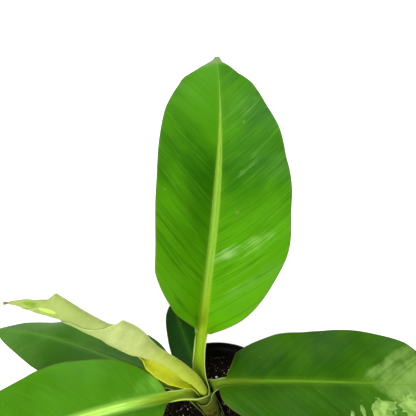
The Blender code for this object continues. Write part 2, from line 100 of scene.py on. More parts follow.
# Floor of the stage: half its width, its ends, where it curves up and how high it goes, in metres
FLOOR_HALF = 8.0
FLOOR_ENDS = (-6.0, 5.0)
FLOOR_TOP = 4.0

# Camera: a focal length of 467 pixels in a picture that is 416 wide
CAMERA_PLACE = (-0.00976, -0.17927, 0.58594)
SENSOR = 36.0
LENS = 467 / 416 * SENSOR
LAMP_AIM = Vector((-0.02, 0.05, 0.2))

# Colours that every leaf shares
MARGIN_BROWN = (0.10, 0.07, 0.015)
SPECK = (0.16, 0.20, 0.04)
SPOT_BROWN = (0.016, 0.009, 0.003)


@dataclass
class Tones:
    """Colours of one open leaf, and how strongly its veins, painted sheen and midrib show."""

    deep: tuple
    bright: tuple
    rib: tuple
    under: tuple
    # Colour of the painted sheen streaks
    bloom: tuple
    foot: tuple
    sheath: tuple
    stalk: tuple
    sheath_dark: tuple
    pale_edge: tuple
    glow: tuple
    through: float
    veins: float
    young: tuple = None
    # Colour of the painted glare at the tip
    tip_glare: tuple = None
    inside: tuple = None
    # Colour of the ragged patches of painted glare
    patch: tuple = None
    flecks: tuple = None
    clouding: float = 0.8
    left_shade: float = 0.0
    wisps: float = 1.1
    # How strongly the vein lines break up the painted sheen
    bloom_lines: float = 0.9
    halo: float = 0.22
    rib_share: float = 0.92
    rib_end: float = None


@dataclass
class Leaf:
    """One open leaf. Lengths in millimetres, angles in degrees, pairs for its left and right side.

    Sheen spots are painted sheen: (share of the blade where the vein starts, mm aside, reach along
    the midrib, reach aside, strength). Glare patches are painted glare, the same by share of the
    blade, and flecks one dry and one pale spot.
    """

    sheath: float
    stalk: float
    blade: float
    foot_radius: float
    throat_radius: float
    around: float
    heading: float
    turn: float
    rise: float
    rise_tip: float
    roll: float
    roll_tip: float
    half: tuple
    widest: tuple
    base: tuple
    point: tuple
    taper: tuple
    fold: float
    tones: Tones
    fold_tip: float = 14
    droop: float = 20
    bend: float = 2.0
    closed: tuple = (170, 170)
    opening: tuple = ((0.40, 1.0), (0.40, 1.0))
    throat: tuple = (95, 95)
    channel: float = 4.5
    channel_open: float = 95
    neck: float = 18
    shoulder: float = 12
    wave: float = 1.5
    wave_length: float = 62
    wave_start: float = 0
    slant: tuple = (0.5, 0.5)
    start: tuple = (0, 0)
    ahead: tuple = (0.06, 0.06)
    rib: float = 2.8
    rib_run: tuple = (0.1, 0.95)
    pleats: float = 0.35
    nub: float = 0
    material: str = "fresh"
    # Spots of painted sheen and patches of painted glare
    blooms: tuple = ()
    patches: tuple = ()
    flecks: tuple = ()


LEAVES = {
    "leaf_upright": Leaf(
        sheath=78, stalk=65.5, blade=297.5, foot_radius=2.7, throat_radius=6.2,
        around=118, heading=75, turn=19, rise=72, rise_tip=4, bend=0.55,
        roll=-37, roll_tip=4, half=(66.5, 66.5), widest=(0.16, 0.30), base=(1.35, 1.74),
        point=(3.2, 2.25), taper=(0.86, 1.02), fold=45, droop=7,
        closed=(130, 205), opening=((0.40, 1.0), (0.98, 1.22)), throat=(10, 100),
        channel=4.3, channel_open=84, neck=50, shoulder=34,
        slant=(0.28, 0.5), rib=4.3, rib_run=(0.30, 0.90), pleats=0.8, nub=3.5,
        # Spots of painted sheen on the upright blade
        blooms=(
            (0.205, 10, 0.018, 11, 0.62), (0.185, 28, 0.026, 17, 0.52), (0.150, 44, 0.026, 13, 0.42),
            (0.08, 32, 0.035, 24, 0.30), (0.64, 31, 0.07, 15, 0.30), (0.43, 27, 0.06, 17, 0.28),
        ),
        flecks=((0.347, 20, 0.006, 2.2), (0.649, 23, 0.007, 0.7)),
        tones=Tones(
            deep=(0.013, 0.092, 0.0002), bright=(0.050, 0.210, 0.001), rib=(0.22, 0.39, 0.035),
            under=(0.16, 0.33, 0.06), bloom=(0.25, 0.44, 0.11), foot=(0.20, 0.20, 0.02),
            sheath=(0.30, 0.40, 0.05), stalk=(0.21, 0.34, 0.007), sheath_dark=(0.15, 0.26, 0.004),
            pale_edge=(0.42, 0.52, 0.15), glow=(0.12, 0.40, 0.004), through=0.12, veins=1.0,
            young=(0.086, 0.300, 0.001), tip_glare=(0.16, 0.24, 0.085), halo=0.06, left_shade=0.20,
            flecks=((0.16, 0.17, 0.055), (0.24, 0.44, 0.10)), clouding=0.45,
        ),
    ),
    "leaf_front_left": Leaf(
        sheath=75, stalk=36, blade=192, foot_radius=3.9, throat_radius=7.5,
        around=200, heading=195, turn=14, rise=18, rise_tip=-28,
        roll=6, roll_tip=4, half=(47, 47), widest=(0.41, 0.41), base=(1.75, 1.75),
        point=(2.15, 2.15), taper=(0.57, 0.57), fold=25,
        opening=((1.02, 1.20), (0.40, 1.0)), throat=(95, 45), channel=3.4, wave_start=20,
        rib=3.0, rib_run=(0.2, 1.0),
        # Spots of painted sheen near the midrib's foot
        blooms=((0.18, 6, 0.10, 5, 0.35), (0.0, 12, 0.13, 12, 0.60)),
        tones=Tones(
            # The bright rib colour and wide halo are partly the midrib's own pale green and partly a painted
            # highlight along it
            deep=(0.038, 0.148, 0.002), bright=(0.058, 0.205, 0.005), rib=(0.60, 0.97, 0.17),
            under=(0.16, 0.33, 0.06), bloom=(0.20, 0.48, 0.05), foot=(0.10, 0.09, 0.012),
            sheath=(0.060, 0.080, 0.007), stalk=(0.26, 0.42, 0.02), sheath_dark=(0.10, 0.16, 0.008),
            pale_edge=(0.48, 0.60, 0.16), glow=(0.20, 0.60, 0.01), through=0.15, veins=0.25,
            inside=(0.46, 0.62, 0.07), halo=0.35, wisps=0.5, bloom_lines=0.4,
        ),
    ),
    "leaf_right": Leaf(
        sheath=78, stalk=25, blade=201, foot_radius=5.2, throat_radius=9.1,
        around=5, heading=8, turn=-10, rise=-11, rise_tip=-2,
        roll=3, roll_tip=-7, half=(49.5, 49.5), widest=(0.63, 0.60), base=(2.35, 2.9),
        point=(2.2, 2.2), taper=(0.64, 0.64), fold=18,
        opening=((0.40, 1.0), (0.88, 1.08)), throat=(70, 50), channel=2.9,
        neck=12, shoulder=18, wave_start=45, start=(0, 6.5), ahead=(0.06, 0.11), rib=2.2,
        slant=(0.95, 0.65),
        # Spots of painted sheen on the right blade
        blooms=(
            (0.635, -26, 0.045, 19, 0.60), (0.60, -8, 0.04, 7, 0.22), (0.80, -14, 0.11, 26, 0.55),
            (0.71, -22, 0.07, 22, 0.28), (0.70, 10, 0.06, 16, 0.34), (0.78, 12, 0.09, 20, 0.36),
            (0.62, 29, 0.08, 12, 0.34), (0.88, 12, 0.10, 24, 0.40),
        ),
        # Ragged patches of painted glare on the right blade
        patches=(
            (0.69, 25, 0.055, 12, 1.1), (0.65, 31, 0.018, 8, 0.9), (0.83, 23, 0.058, 16, 1.15),
            (0.585, 27, 0.014, 8, 0.95), (0.53, 30, 0.009, 5, 0.85), (0.93, -2, 0.05, 22, 0.6),
        ),
        tones=Tones(
            deep=(0.013, 0.062, 0.0004), bright=(0.031, 0.112, 0.001), rib=(0.105, 0.225, 0.010),
            under=(0.10, 0.22, 0.04), bloom=(0.20, 0.34, 0.07), foot=(0.13, 0.11, 0.012),
            sheath=(0.078, 0.090, 0.008), stalk=(0.10, 0.18, 0.006), sheath_dark=(0.03, 0.035, 0.003),
            pale_edge=(0.22, 0.28, 0.07), glow=(0.10, 0.35, 0.01), through=0.08, veins=0.6,
            inside=(0.13, 0.20, 0.015), patch=(0.25, 0.41, 0.09), wisps=1.0, bloom_lines=0.3,
            rib_end=1.66,
        ),
    ),
    "leaf_left": Leaf(
        sheath=48, stalk=44, blade=190, foot_radius=6.55, throat_radius=10.7,
        around=156, heading=155, turn=11, rise=10, rise_tip=-20,
        roll=13, roll_tip=-17, half=(42, 42), widest=(0.36, 0.36), base=(2.2, 2.2),
        point=(1.35, 1.35), taper=(0.66, 0.66), fold=2, fold_tip=-14, droop=25,
        throat=(75, 70), channel=4.0, wave_start=10, rib=2.2, material="old",
        # A spot of painted sheen on the left blade
        blooms=((0.75, -18, 0.16, 18, 0.35),),
        tones=Tones(
            deep=(0.030, 0.105, 0.006), bright=(0.062, 0.160, 0.022), rib=(0.10, 0.24, 0.03),
            under=(0.10, 0.22, 0.05), bloom=(0.17, 0.27, 0.10), foot=(0.085, 0.070, 0.010),
            sheath=(0.07, 0.08, 0.008), stalk=(0.08, 0.16, 0.01), sheath_dark=(0.035, 0.03, 0.004),
            pale_edge=(0.20, 0.22, 0.06), glow=(0.10, 0.35, 0.01), through=0.06, veins=0.3,
            wisps=0.7, bloom_lines=0.35, rib_share=0.45,
        ),
    ),
    "leaf_back": Leaf(
        sheath=27, stalk=42, blade=100, foot_radius=8.05, throat_radius=12.6,
        around=109, heading=109, turn=0, rise=-6, rise_tip=-16,
        roll=10, roll_tip=10, half=(19.5, 16.5), widest=(0.28, 0.28), base=(1.8, 1.8),
        point=(2.0, 2.0), taper=(0.6, 0.6), fold=17,
        throat=(60, 95), channel=3.6, wave=0.8, wave_length=45, material="old",
        tones=Tones(
            # Very dark greens: partly the oldest leaf's own darker green, partly painted shade where the
            # upright leaf hangs over it
            deep=(0.003, 0.028, 0.0003), bright=(0.007, 0.050, 0.0006), rib=(0.032, 0.12, 0.006),
            under=(0.03, 0.09, 0.012), bloom=(0.05, 0.14, 0.02), foot=(0.07, 0.055, 0.010),
            sheath=(0.05, 0.06, 0.006), stalk=(0.04, 0.10, 0.006), sheath_dark=(0.02, 0.02, 0.003),
            pale_edge=(0.12, 0.16, 0.04), glow=(0.03, 0.12, 0.005), through=0.04, veins=0.3,
        ),
    ),
}

# Rolled leaf: lengths in millimetres, angles in degrees, and steps along it are (millimetres from
# where the roll starts, value). The margin is the outer one's angle round the roll's axis.
ROLL_LENGTH = 215.0
ROLL_START = 76.0
ROLL_SHOULDER = 12.0
ROLL_STALK_REACH = 34.0
ROLL_STALK_RADII = (2.2, 2.85, 3.5)
ROLL_RISE = [(0, 77), (55, 62), (110, 41), (155, 37), (215, -26)]
ROLL_HEADING = 189.0
ROLL_TURN = -23.0
FLAP_ANGLE = 250.0
ROLL_INNER = [(0, -100), (40, -100), (125, -900)]
ROLL_MARGIN = [
    (0, 235), (97, 235), (101, 195), (107, 165), (113, 135), (120, 90), (127, 48), (131, 26), (135.5, 5),
    (138.5, -22), (142.5, -45), (147.5, -65), (152, -82), (162, -84), (167, -120), (171, -200),
    (174.5, -275), (176, -312), (177.3, -340), (179.5, -375), (184, -405), (191, -450), (199, -495),
    (208, -560), (215, -600),
]
ROLL_RADIUS = [
    (0, 4.25), (14, 5.2), (40, 6.3), (84, 6.3), (98, 7.6), (110, 9.4), (127, 8.9), (136, 7.7),
    (152, 8.0), (170, 8.4), (184, 7.9), (192, 6.7), (207, 3.6), (211, 2.2), (215, 2.4),
]
ROLL_PITCH = [(0, 0.3), (30, 0.3), (44, 0.8), (80, 1.2), (186, 1.2), (207, 0.7), (215, 0.4)]
ROLL_FLARE = [
    (0, 0), (30, 0.2), (44, 4.6), (62, 8.6), (78, 8.6), (90, 6.2), (97, 0.3), (107, 1.2), (113, 2.2),
    (120, 2.2), (127, 3.4), (131, 2.0), (135, 0.6), (140, -0.6), (172, -0.6), (177, 0), (184, -0.5),
    (205, -0.4), (215, 0),
]
ROLL_REACH = [(0, 60), (100, 60), (112, 170), (127, 170), (142, 90), (215, 90)]
ROLL_HUMP = [(0, 0), (150, 0), (167, 1.6), (178, 0.8), (190, -0.8), (215, -1.0)]
ROLL_CREST = [
    (0, 0), (92, 0), (104, 2.6), (112, 3.4), (119, 3.6), (127, 1.2), (133, 0.2), (150, 0.4), (158, 0.6),
    (166, 1.6), (173, 3.8), (177, 6.4), (178.6, 2.2), (180.3, 0.6), (184, 0), (215, 0),
]
CREST_ANGLE = 30.0
ROLL_CORE = 0.35
LAP = {"along": 34.0, "fade": 8.0, "angle": 25.0, "depth": 1.6}
# A dent in the roll, which its finish also paints with shade
HOLLOW = {"along": 191.3, "angle": -378.0, "reach": 6.6, "turn": 58.0}
HOLLOW_DEPTH = 2.2
# A painted highlight on the roll: a bright green spot where light shines through
HIGHLIGHT_SPOT = {"along": 177.5, "angle": -411.0, "reach": 5.8, "turn": 11.0}


# Numbers, directions and noise


def unit(v):
    """Vectors divided by their lengths."""
    return v / np.linalg.norm(v, axis=-1, keepdims=True)


def scaled(colour, share):
    """A colour with each channel multiplied by a share."""
    return tuple(share * channel for channel in colour)


def ease(x):
    """0 to 1 with flat ends: 3 x^2 - 2 x^3."""
    x = np.clip(x, 0, 1)
    return x * x * (3 - 2 * x)


def polar(heading, rise):
    """Unit vectors (cos rise cos heading, cos rise sin heading, sin rise) from angles in degrees."""
    heading, rise = np.radians(heading), np.radians(rise)
    flat = np.cos(rise)
    return np.stack([flat * np.cos(heading), flat * np.sin(heading), np.sin(rise) + 0 * heading], -1)


def staircase(x, steps):
    """A smooth run through (x, value) steps: the first value plus each rise times its ease."""
    out = np.full_like(x, steps[0][1], dtype=float)
    for (x0, v0), (x1, v1) in zip(steps[:-1], steps[1:]):
        out = out + (v1 - v0) * ease((x - x0) / (x1 - x0))
    return out


def straight_steps(x, steps, soft=1.2):
    """Straight runs through (x, value) steps, corners rounded: the mean of three shifted runs."""
    return sum(np.interp(x + shift, *zip(*steps)) for shift in (-soft, 0, soft)) / 3


def running_sum(values, step):
    """The integral of rows of values taken at equal steps, from zero."""
    out = np.zeros_like(values)
    out[1:] = np.cumsum(0.5 * (values[1:] + values[:-1]) * step, 0)
    return out


def sample(s, fine, rows):
    """Rows of vectors known at fine arc lengths, read off at arc lengths s."""
    return np.stack([np.interp(s, fine, rows[:, k]) for k in range(3)], -1)


def square_up(normal, tangent):
    """The normal made square to the tangent."""
    return unit(normal - (normal * tangent).sum(-1, keepdims=True) * tangent)


def carried(s, fine, points, tangent, normal):
    """Points, face normals and sideways at arc lengths s of a line known at fine ones."""
    tangent = unit(sample(s, fine, tangent))
    normal = square_up(sample(s, fine, normal), tangent)
    return sample(s, fine, points), normal, np.cross(tangent, normal)


def lumps(x, y, spacing, seed):
    """Smooth seeded noise from -1 to 1: random values on a square lattice, eased between them."""
    size = 64
    values = np.random.default_rng(seed).uniform(-1, 1, (size, size))
    a, b = x / spacing, y / spacing
    i, j = np.floor(a).astype(int), np.floor(b).astype(int)
    fa, fb = ease(a - i), ease(b - j)
    i0, i1, j0, j1 = i % size, (i + 1) % size, j % size, (j + 1) % size
    low = values[i0, j0] * (1 - fa) + values[i1, j0] * fa
    high = values[i0, j1] * (1 - fa) + values[i1, j1] * fa
    return low * (1 - fb) + high * fb


# Open leaves


def sheath_radius(leaf, s):
    """The sheath's radius round the stem, wider towards its throat by the 1.5th power of height."""
    share = (np.clip(s, 0, leaf.sheath * MM) / STEM_LENGTH) ** 1.5
    return (leaf.foot_radius + (leaf.throat_radius - leaf.foot_radius) * share) * MM


def leaf_line(leaf, s):
    """Middle line of the upper face at arc lengths s: points, face normals, sideways.

    On the sheath it runs up the stem. Past it, its direction eases over to a compass heading and a
    rise that both change towards the tip, and the points are the integral of the direction.
    """
    out = polar(leaf.around, 0)
    out = unit(out - (out @ STEM_UP) * STEM_UP)
    sheath = leaf.sheath * MM
    whole = (leaf.sheath + leaf.stalk + leaf.blade) * MM
    fine = np.linspace(0, whole, LINE_STEPS)
    past = np.clip(fine - sheath, 0, None)
    x = past / (whole - sheath)
    rise = leaf.rise_tip + (leaf.rise - leaf.rise_tip) * (1 - x ** leaf.bend)
    heading = leaf.heading + leaf.turn * x
    ahead = polar(heading, rise)
    above = polar(heading, rise + 90)
    side = np.cross(ahead, above)
    roll = np.radians(leaf.roll + (leaf.roll_tip - leaf.roll) * x)[:, None]
    above = np.cos(roll) * above - np.sin(roll) * side
    hold = np.exp(-((past / (leaf.shoulder * MM)) ** 2))[:, None]
    tangent = unit(hold * STEM_UP + (1 - hold) * ahead)
    normal = square_up(hold * -out + (1 - hold) * above, tangent)
    points = STEM_FOOT + running_sum(tangent, fine[1]) + sheath_radius(leaf, fine)[:, None] * out
    return carried(s, fine, points, tangent, normal)


def past_throat(leaf, s):
    """0 on the sheath, 1 where the leaf has drawn clear of the stem and is a narrow stalk."""
    return ease((s - leaf.sheath * MM - THROAT_LIP) / (leaf.neck * MM))


def blade_share(leaf, s, start=0.0):
    """Share of the blade's length at arc lengths s, for a side that starts some mm before it."""
    return (s - (leaf.sheath + leaf.stalk - start) * MM) / ((leaf.blade + start) * MM)


def leaf_stage(leaf, s, dist):
    """-1 to 0 up the sheath, 0 to 1 along the stalk and 1 to 2 along the blade.

    A side whose blade starts early is ahead by as much, away from the middle line.
    """
    early = np.where(dist > 0, leaf.start[1], leaf.start[0]) * ease((np.abs(dist) / MM - 1.5) / 3)
    mm = s[:, None] / MM + early
    knots = np.cumsum([0, leaf.sheath, leaf.stalk, leaf.blade])
    return np.interp(mm, knots, [-1, 0, 1, 2])


def half_blade(u, widest, base, point, taper):
    """Half width as a share: round at the base, full at the widest place, narrowing to the tip.

    Below the widest place it is (1 - x^base)^(1/base), with x from 1 at the base down to 0 there, and
    above it (1 - x^point)^taper, with x from 0 there up to 1 at the tip.
    """
    low = np.clip((widest - u) / widest, 0, 1)
    high = np.clip((u - widest) / (1 - widest), 0, 1)
    share = np.where(u < widest, (1 - low ** base) ** (1 / base), (1 - high ** point) ** taper)
    return share * (u > 0)


def half_width(leaf, u, hand, radius, open_angle):
    """Arc length from the middle line to one margin.

    It is the root of the summed squares of the channel's wall, the blade and the nub at its tip.
    """
    blade_end = NUB_START if leaf.nub else 1.0
    form = [pair[hand] for pair in (leaf.widest, leaf.base, leaf.point, leaf.taper)]
    blade = leaf.half[hand] * MM * half_blade(np.clip(u / blade_end, 0, 1), *form)
    wall = radius * open_angle * (1 - ease(u / 0.25))
    nub = leaf.nub * MM * np.sqrt(np.clip(1 - ((u - NUB_MIDDLE) / (1 - NUB_MIDDLE)) ** 2, 0, 1))
    return np.maximum(np.sqrt(wall**2 + blade**2 + nub**2), THINNEST_HALF)


def offset_from_middle(slope, dist):
    """The integral of the slope over the distance along each row, zero on the middle line."""
    out = np.zeros_like(dist)
    out[:, 1:] = np.cumsum(0.5 * (slope[:, 1:] + slope[:, :-1]) * np.diff(dist, axis=1), axis=1)
    middle = dist.shape[1] // 2
    return out - out[:, middle : middle + 1]


def blade_wave(leaf, s, u, t):
    """Gentle waves: a sine of the arc length for each side, times the square of the share."""
    rise = ease(u / 0.25) * (1 - ease((u - 0.8) / 0.2))
    turn = 2 * math.pi * (s / MM + leaf.wave_start) / leaf.wave_length
    left = np.sin(turn)[:, None] * np.clip(-t, 0, 1) ** 2
    right = np.sin(1.13 * turn + 1.9)[:, None] * np.clip(t, 0, 1) ** 2
    return leaf.wave * MM * rise[:, None] * (left + right)


def vein_place(leaf, s, u, dist, widths):
    """Where on the midrib the side vein through each point starts, in millimetres.

    Side veins leave the midrib aslant and bend on towards the tip near the margin: the arc length,
    less a slant times the distance, less a share of the distance squared by the half width.
    """
    away = np.abs(dist) / MM
    reach = np.maximum(widths / MM, 1)
    slant = np.where(dist > 0, leaf.slant[1], leaf.slant[0])
    lean = (slant + 0.35 * np.clip(u, 0, 1)[:, None]) * away
    return s[:, None] / MM - lean - 0.16 * away**2 / reach


def leaf_face(leaf, s, t):
    """The upper face at arc lengths s and shares t of the half width, with its side distances.

    Across each row the sheet's direction turns by an angle phi(l) with distance l from the middle
    line. The row is the integral of (cos phi, sin phi): a circle of the channel's radius on the
    sheath and stalk, and on the blade a rounded V that droops towards the margins.
    """
    points, normal, side = leaf_line(leaf, s)
    u = blade_share(leaf, s)
    stalk = past_throat(leaf, s)
    radius = sheath_radius(leaf, s) * (1 - stalk) + leaf.channel * MM * stalk
    widths, flats = [], []
    for hand in (0, 1):
        low, high = leaf.opening[hand]
        opening = ease((s / (leaf.sheath * MM) - low) / (high - low))
        angle = leaf.closed[hand] + (leaf.throat[hand] - leaf.closed[hand]) * opening
        angle = np.radians(angle * (1 - stalk) + leaf.channel_open * stalk)
        share = blade_share(leaf, s, leaf.start[hand])
        widths.append(half_width(leaf, share, hand, radius, angle)[:, None])
        flats.append(ease((share + leaf.ahead[hand]) / 0.13)[:, None])
    widths = np.where(t > 0, widths[1], widths[0])
    flat = np.where(t > 0, flats[1], flats[0])
    dist = widths * t
    fold = np.radians(leaf.fold + (leaf.fold_tip - leaf.fold) * np.clip(u, 0, 1))[:, None]
    fold = np.where(np.abs(fold) < 0.02, 0.02, fold)
    away = np.abs(dist)
    channel = np.minimum(away / radius[:, None], math.pi)
    opened = fold * np.tanh(away / (np.abs(fold) * radius[:, None]))
    opened = opened - math.radians(leaf.droop) * away / (max(leaf.half) * MM)
    phi = np.sign(dist) * ((1 - flat) * channel + flat * opened)
    across = offset_from_middle(np.cos(phi), dist)
    lift = offset_from_middle(np.sin(phi), dist) + blade_wave(leaf, s, u, t)
    vein = vein_place(leaf, s, u, dist, widths)
    lift = lift + blade_relief(leaf, s, u, dist, widths, vein) * flat
    face = points[:, None] + across[..., None] * side[:, None] + lift[..., None] * normal[:, None]
    return face, dist, widths, vein


def rib_width(leaf, u):
    """Half width of the pale midrib on the upper face, in millimetres, easing down to a half."""
    low, high = leaf.rib_run
    return 0.5 + (leaf.rib - 0.5) * (1 - ease((u - low) / (high - low)))


def blade_relief(leaf, s, u, dist, widths, vein):
    """Fine height on the blade: the midrib's groove, pleats along the side veins, crinkled edges.

    The groove is -exp(-x^4) of the distance by the rib's half width, the pleats are noise of the side
    vein's place, and the crinkle is noise of the arc length times exp(-x) inwards from the margin.
    """
    away = np.abs(dist) / MM
    rib = rib_width(leaf, u)[:, None]
    groove = -0.42 * np.minimum(rib, 2.8) * np.exp(-((away / (0.72 * rib)) ** 4))
    hand = np.where(dist > 0, 40.0, 0.0)
    clear = ease((away - rib) / 8) * ease((1 - u) / 0.12)[:, None]
    pleat = 0.07 * lumps(vein, hand + 0.03 * away, 2.7, 11)
    pleat = pleat + 0.16 * lumps(vein, hand + 0.02 * away, 6.5, 12)
    broad = leaf.pleats * (1.15 - 0.8 * np.clip(u, 0, 1))[:, None]
    pleat = pleat + broad * lumps(vein, hand + 0.012 * away, 17.0, 14) * ease(away / 25)
    edge = (widths - np.abs(dist)) / MM
    crinkle = 0.5 * lumps(s[:, None] / MM, hand + 0 * edge, 11.0, 13) * np.exp(-edge / 7)
    return (groove + clear * (pleat + crinkle)) * MM


def leaf_thickness(leaf, s, t, sizes):
    """Thin sheath, thick stalk, and a midrib that tapers along the thin blade.

    Across each row it is thin + (thick - thin) exp(-(t / width)^2).
    """
    u = blade_share(leaf, s)
    body = sizes.sheath + (sizes.stalk - sizes.sheath) * past_throat(leaf, s)
    rib = sizes.blade + (sizes.stalk * leaf.channel / 4.5 - sizes.blade) * (1 - np.clip(u, 0, 1)) ** 1.2
    flat = ease((u + 0.06) / 0.13)
    width = (0.75 + (0.10 - 0.75) * ease((u + 0.02) / 0.10))[:, None]
    middle = np.exp(-((t / width) ** 2))
    thin = sizes.sheath * (1 - flat) + sizes.blade * flat
    thick = body * (1 - flat) + rib * flat
    return thin[:, None] + (thick - thin)[:, None] * middle


def leaf_rows(leaf):
    """Arc lengths of the rows: even on sheath and stalk, denser where the blade starts and ends."""
    sheath = np.linspace(0, leaf.sheath, STALK_ROWS)[:-1]
    stalk = leaf.sheath + leaf.stalk * np.linspace(0, 1, STALK_ROWS)[:-1]
    share = np.linspace(0, 1, int(leaf.blade * BLADE_ROWS_PER_MM))
    blade = leaf.sheath + leaf.stalk + leaf.blade * (0.6 * share + 0.4 * ease(share))
    return np.concatenate([sheath, stalk, blade]) * MM


def leaf_columns(leaf, s):
    """Shares of the half width: even ones, to a power that brings them to the midrib on the blade."""
    q = np.linspace(-1, 1, LEAF_COLUMNS)[None]
    flat = ease((s - (leaf.sheath + leaf.stalk) * MM) / (20 * MM))[:, None]
    return np.sign(q) * np.abs(q) ** (1 + 0.35 * flat)


# Rolled leaf


def roll_line(s):
    """Axis of the rolled leaf at arc lengths s from the crown: the integral of its direction."""
    fine = np.linspace(0, ROLL_LENGTH * MM, ROLL_LINE_STEPS)
    x = fine / (ROLL_LENGTH * MM)
    rise = np.interp(fine / MM, *zip(*ROLL_RISE))
    ahead = polar(ROLL_HEADING + ROLL_TURN * x, rise)
    above = polar(ROLL_HEADING + ROLL_TURN * x, rise + 90)
    hold = np.exp(-((fine / (ROLL_SHOULDER * MM)) ** 2))[:, None]
    tangent = unit(hold * STEM_UP + (1 - hold) * ahead)
    points = STEM_FOOT + STEM_UP * ROLL_START * MM + running_sum(tangent, fine[1])
    return carried(s, fine, points, tangent, above)


def roll_spot(mm, angle, spot):
    """A soft spot on the roll: exp(-x^2 - y^2) of the steps from it along and around the roll."""
    turned = (np.degrees(angle) - spot["angle"] + 180) % 360 - 180
    along = (mm[:, None] - spot["along"]) / spot["reach"]
    return np.exp(-(along**2) - (turned / spot["turn"]) ** 2)


def roll_face(s, q):
    """Inner face of the rolled leaf: rows at arc lengths s, columns from inner to outer margin.

    Each row is a spiral about the axis: a radius that grows by a pitch with each turn. Its outer
    margin runs back round the roll towards the tip, which leaves a step and a free corner at each
    turn, and near the margin the sheet flares by a power of the nearness.
    """
    points, normal, side = roll_line(s)
    mm = s / MM
    points = points + straight_steps(mm, ROLL_HUMP)[:, None] * normal * MM
    begin = np.radians(staircase(mm, ROLL_INNER))[:, None]
    end = np.radians(straight_steps(mm, ROLL_MARGIN))[:, None]
    angle = begin + (end - begin) * q
    turns = (angle - math.radians(FLAP_ANGLE)) / (2 * math.pi)
    radius = staircase(mm, ROLL_RADIUS)[:, None] + staircase(mm, ROLL_PITCH)[:, None] * turns
    near = np.clip(1 - (end - angle) / np.radians(straight_steps(mm, ROLL_REACH))[:, None], 0, 1)
    flare = straight_steps(mm, ROLL_FLARE)[:, None] * near**1.6
    radius = radius + flare
    dip = np.clip(1 - (angle - begin) / math.radians(LAP["angle"]), 0, 1)
    dip = LAP["depth"] * dip * (1 - ease((mm[:, None] - LAP["along"]) / LAP["fade"]))
    hollow = roll_spot(mm, angle, HOLLOW)
    crest = np.clip(np.cos(angle - math.radians(CREST_ANGLE)), 0, 1) ** 2
    crest = straight_steps(mm, ROLL_CREST)[:, None] * crest
    radius = np.maximum(radius + crest - dip - HOLLOW_DEPTH * hollow, ROLL_CORE) * MM
    away = np.cos(angle)[..., None] * normal[:, None] + np.sin(angle)[..., None] * side[:, None]
    edge = (end - angle) * radius
    # Where the painted highlight lies
    light = roll_spot(mm, angle, HIGHLIGHT_SPOT)
    return points[:, None] + radius[..., None] * away, angle, edge, flare, hollow, light


# Meshes


def face_normals(face):
    """Normals of a grid of points, from its differences along rows and columns."""
    down = np.gradient(face, axis=0)
    over = np.gradient(face, axis=1)
    return unit(np.cross(over, down))


def round_faces(rows, columns):
    """Quads between neighbouring rings of points, facing out where the rings climb."""
    i = np.arange(rows - 1)[:, None] * columns
    j = np.arange(columns)[None]
    k = (j + 1) % columns
    return np.stack([i + j, i + k, i + columns + k, i + columns + j], -1).reshape(-1, 4)


def closed_sheet(name, face, thickness, **values):
    """A closed thin sheet: the grid, its copy a thickness behind it, and rounded margins between.

    Each row becomes a flat ring: the upper columns, a rounding point, the under columns back, and
    a rounding point. The rings are joined by quads and the two ends are closed across.
    """
    rows, columns = face.shape[:2]
    under = face - face_normals(face) * thickness[..., None]
    middle = 0.5 * (face + under)
    bulge = 0.5 * thickness[..., None]
    left = middle[:, :1] + unit(face[:, :1] - face[:, 1:2]) * bulge[:, :1]
    right = middle[:, -1:] + unit(face[:, -1:] - face[:, -2:-1]) * bulge[:, -1:]
    ring = np.concatenate([face, right, under[:, ::-1], left], axis=1)
    around = ring.shape[1]
    c = np.arange(columns - 1)
    across = np.stack([c, c + 1, 2 * columns - c - 1, 2 * columns - c], -1)
    corners = np.array([[0, 2 * columns, around - 1], [columns - 1, columns, columns + 1]])
    groups = [round_faces(rows, around)]
    for start, turn in ((0, -1), ((rows - 1) * around, 1)):
        groups += [start + across[:, ::turn], start + corners[:, ::turn]]
    mesh = mesh_from(name, ring.reshape(-1, 3), groups)
    upper = np.concatenate([np.ones(columns), [0.5], np.zeros(columns), [0.5]])
    for key, value in values.items():
        full = np.concatenate([value, value[:, -1:], value[:, ::-1], value[:, :1]], axis=1)
        put_attribute(mesh, key, full)
    put_attribute(mesh, "upper", np.broadcast_to(upper, (rows, around)))
    return mesh


def mesh_from(name, points, face_groups):
    """A smooth mesh from an array of points and groups of faces that index them."""
    mesh = bpy.data.meshes.new(name)
    faces = [face for group in face_groups for face in np.asarray(group).tolist()]
    mesh.from_pydata(np.asarray(points).tolist(), [], faces)
    mesh.shade_smooth()
    return mesh


def put_attribute(mesh, name, values):
    """Gives a mesh one number at each point, for its material to read."""
    layer = mesh.attributes.new(name, "FLOAT", "POINT")
    layer.data.foreach_set("value", np.ascontiguousarray(values, dtype=np.float32).reshape(-1))


def add_object(name, data):
    """Puts a mesh, lamp or camera into the scene."""
    thing = bpy.data.objects.new(name, data)
    bpy.context.scene.collection.objects.link(thing)
    return thing


def place_piece(name, mesh, material, node=None):
    """Puts a finished mesh into the scene, riding on the plant's one body."""
    if name in bpy.data.objects:
        raise RuntimeError(f"{name} is in the scene already")
    if not mesh.polygons:
        raise RuntimeError(f"{name} came out without faces")
    piece = add_object(name, mesh)
    mesh.materials.append(material)
    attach(piece, "root")
    if node:
        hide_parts(node)


def soft_spots(spots, share, across):
    """The sum of strength * exp(-x^2 - y^2) over spots, by their steps along and aside."""
    out = np.zeros_like(share)
    for share0, across0, reach, aside, strength in spots:
        out = out + strength * np.exp(-(((share - share0) / reach) ** 2) - ((across - across0) / aside) ** 2)
    return out


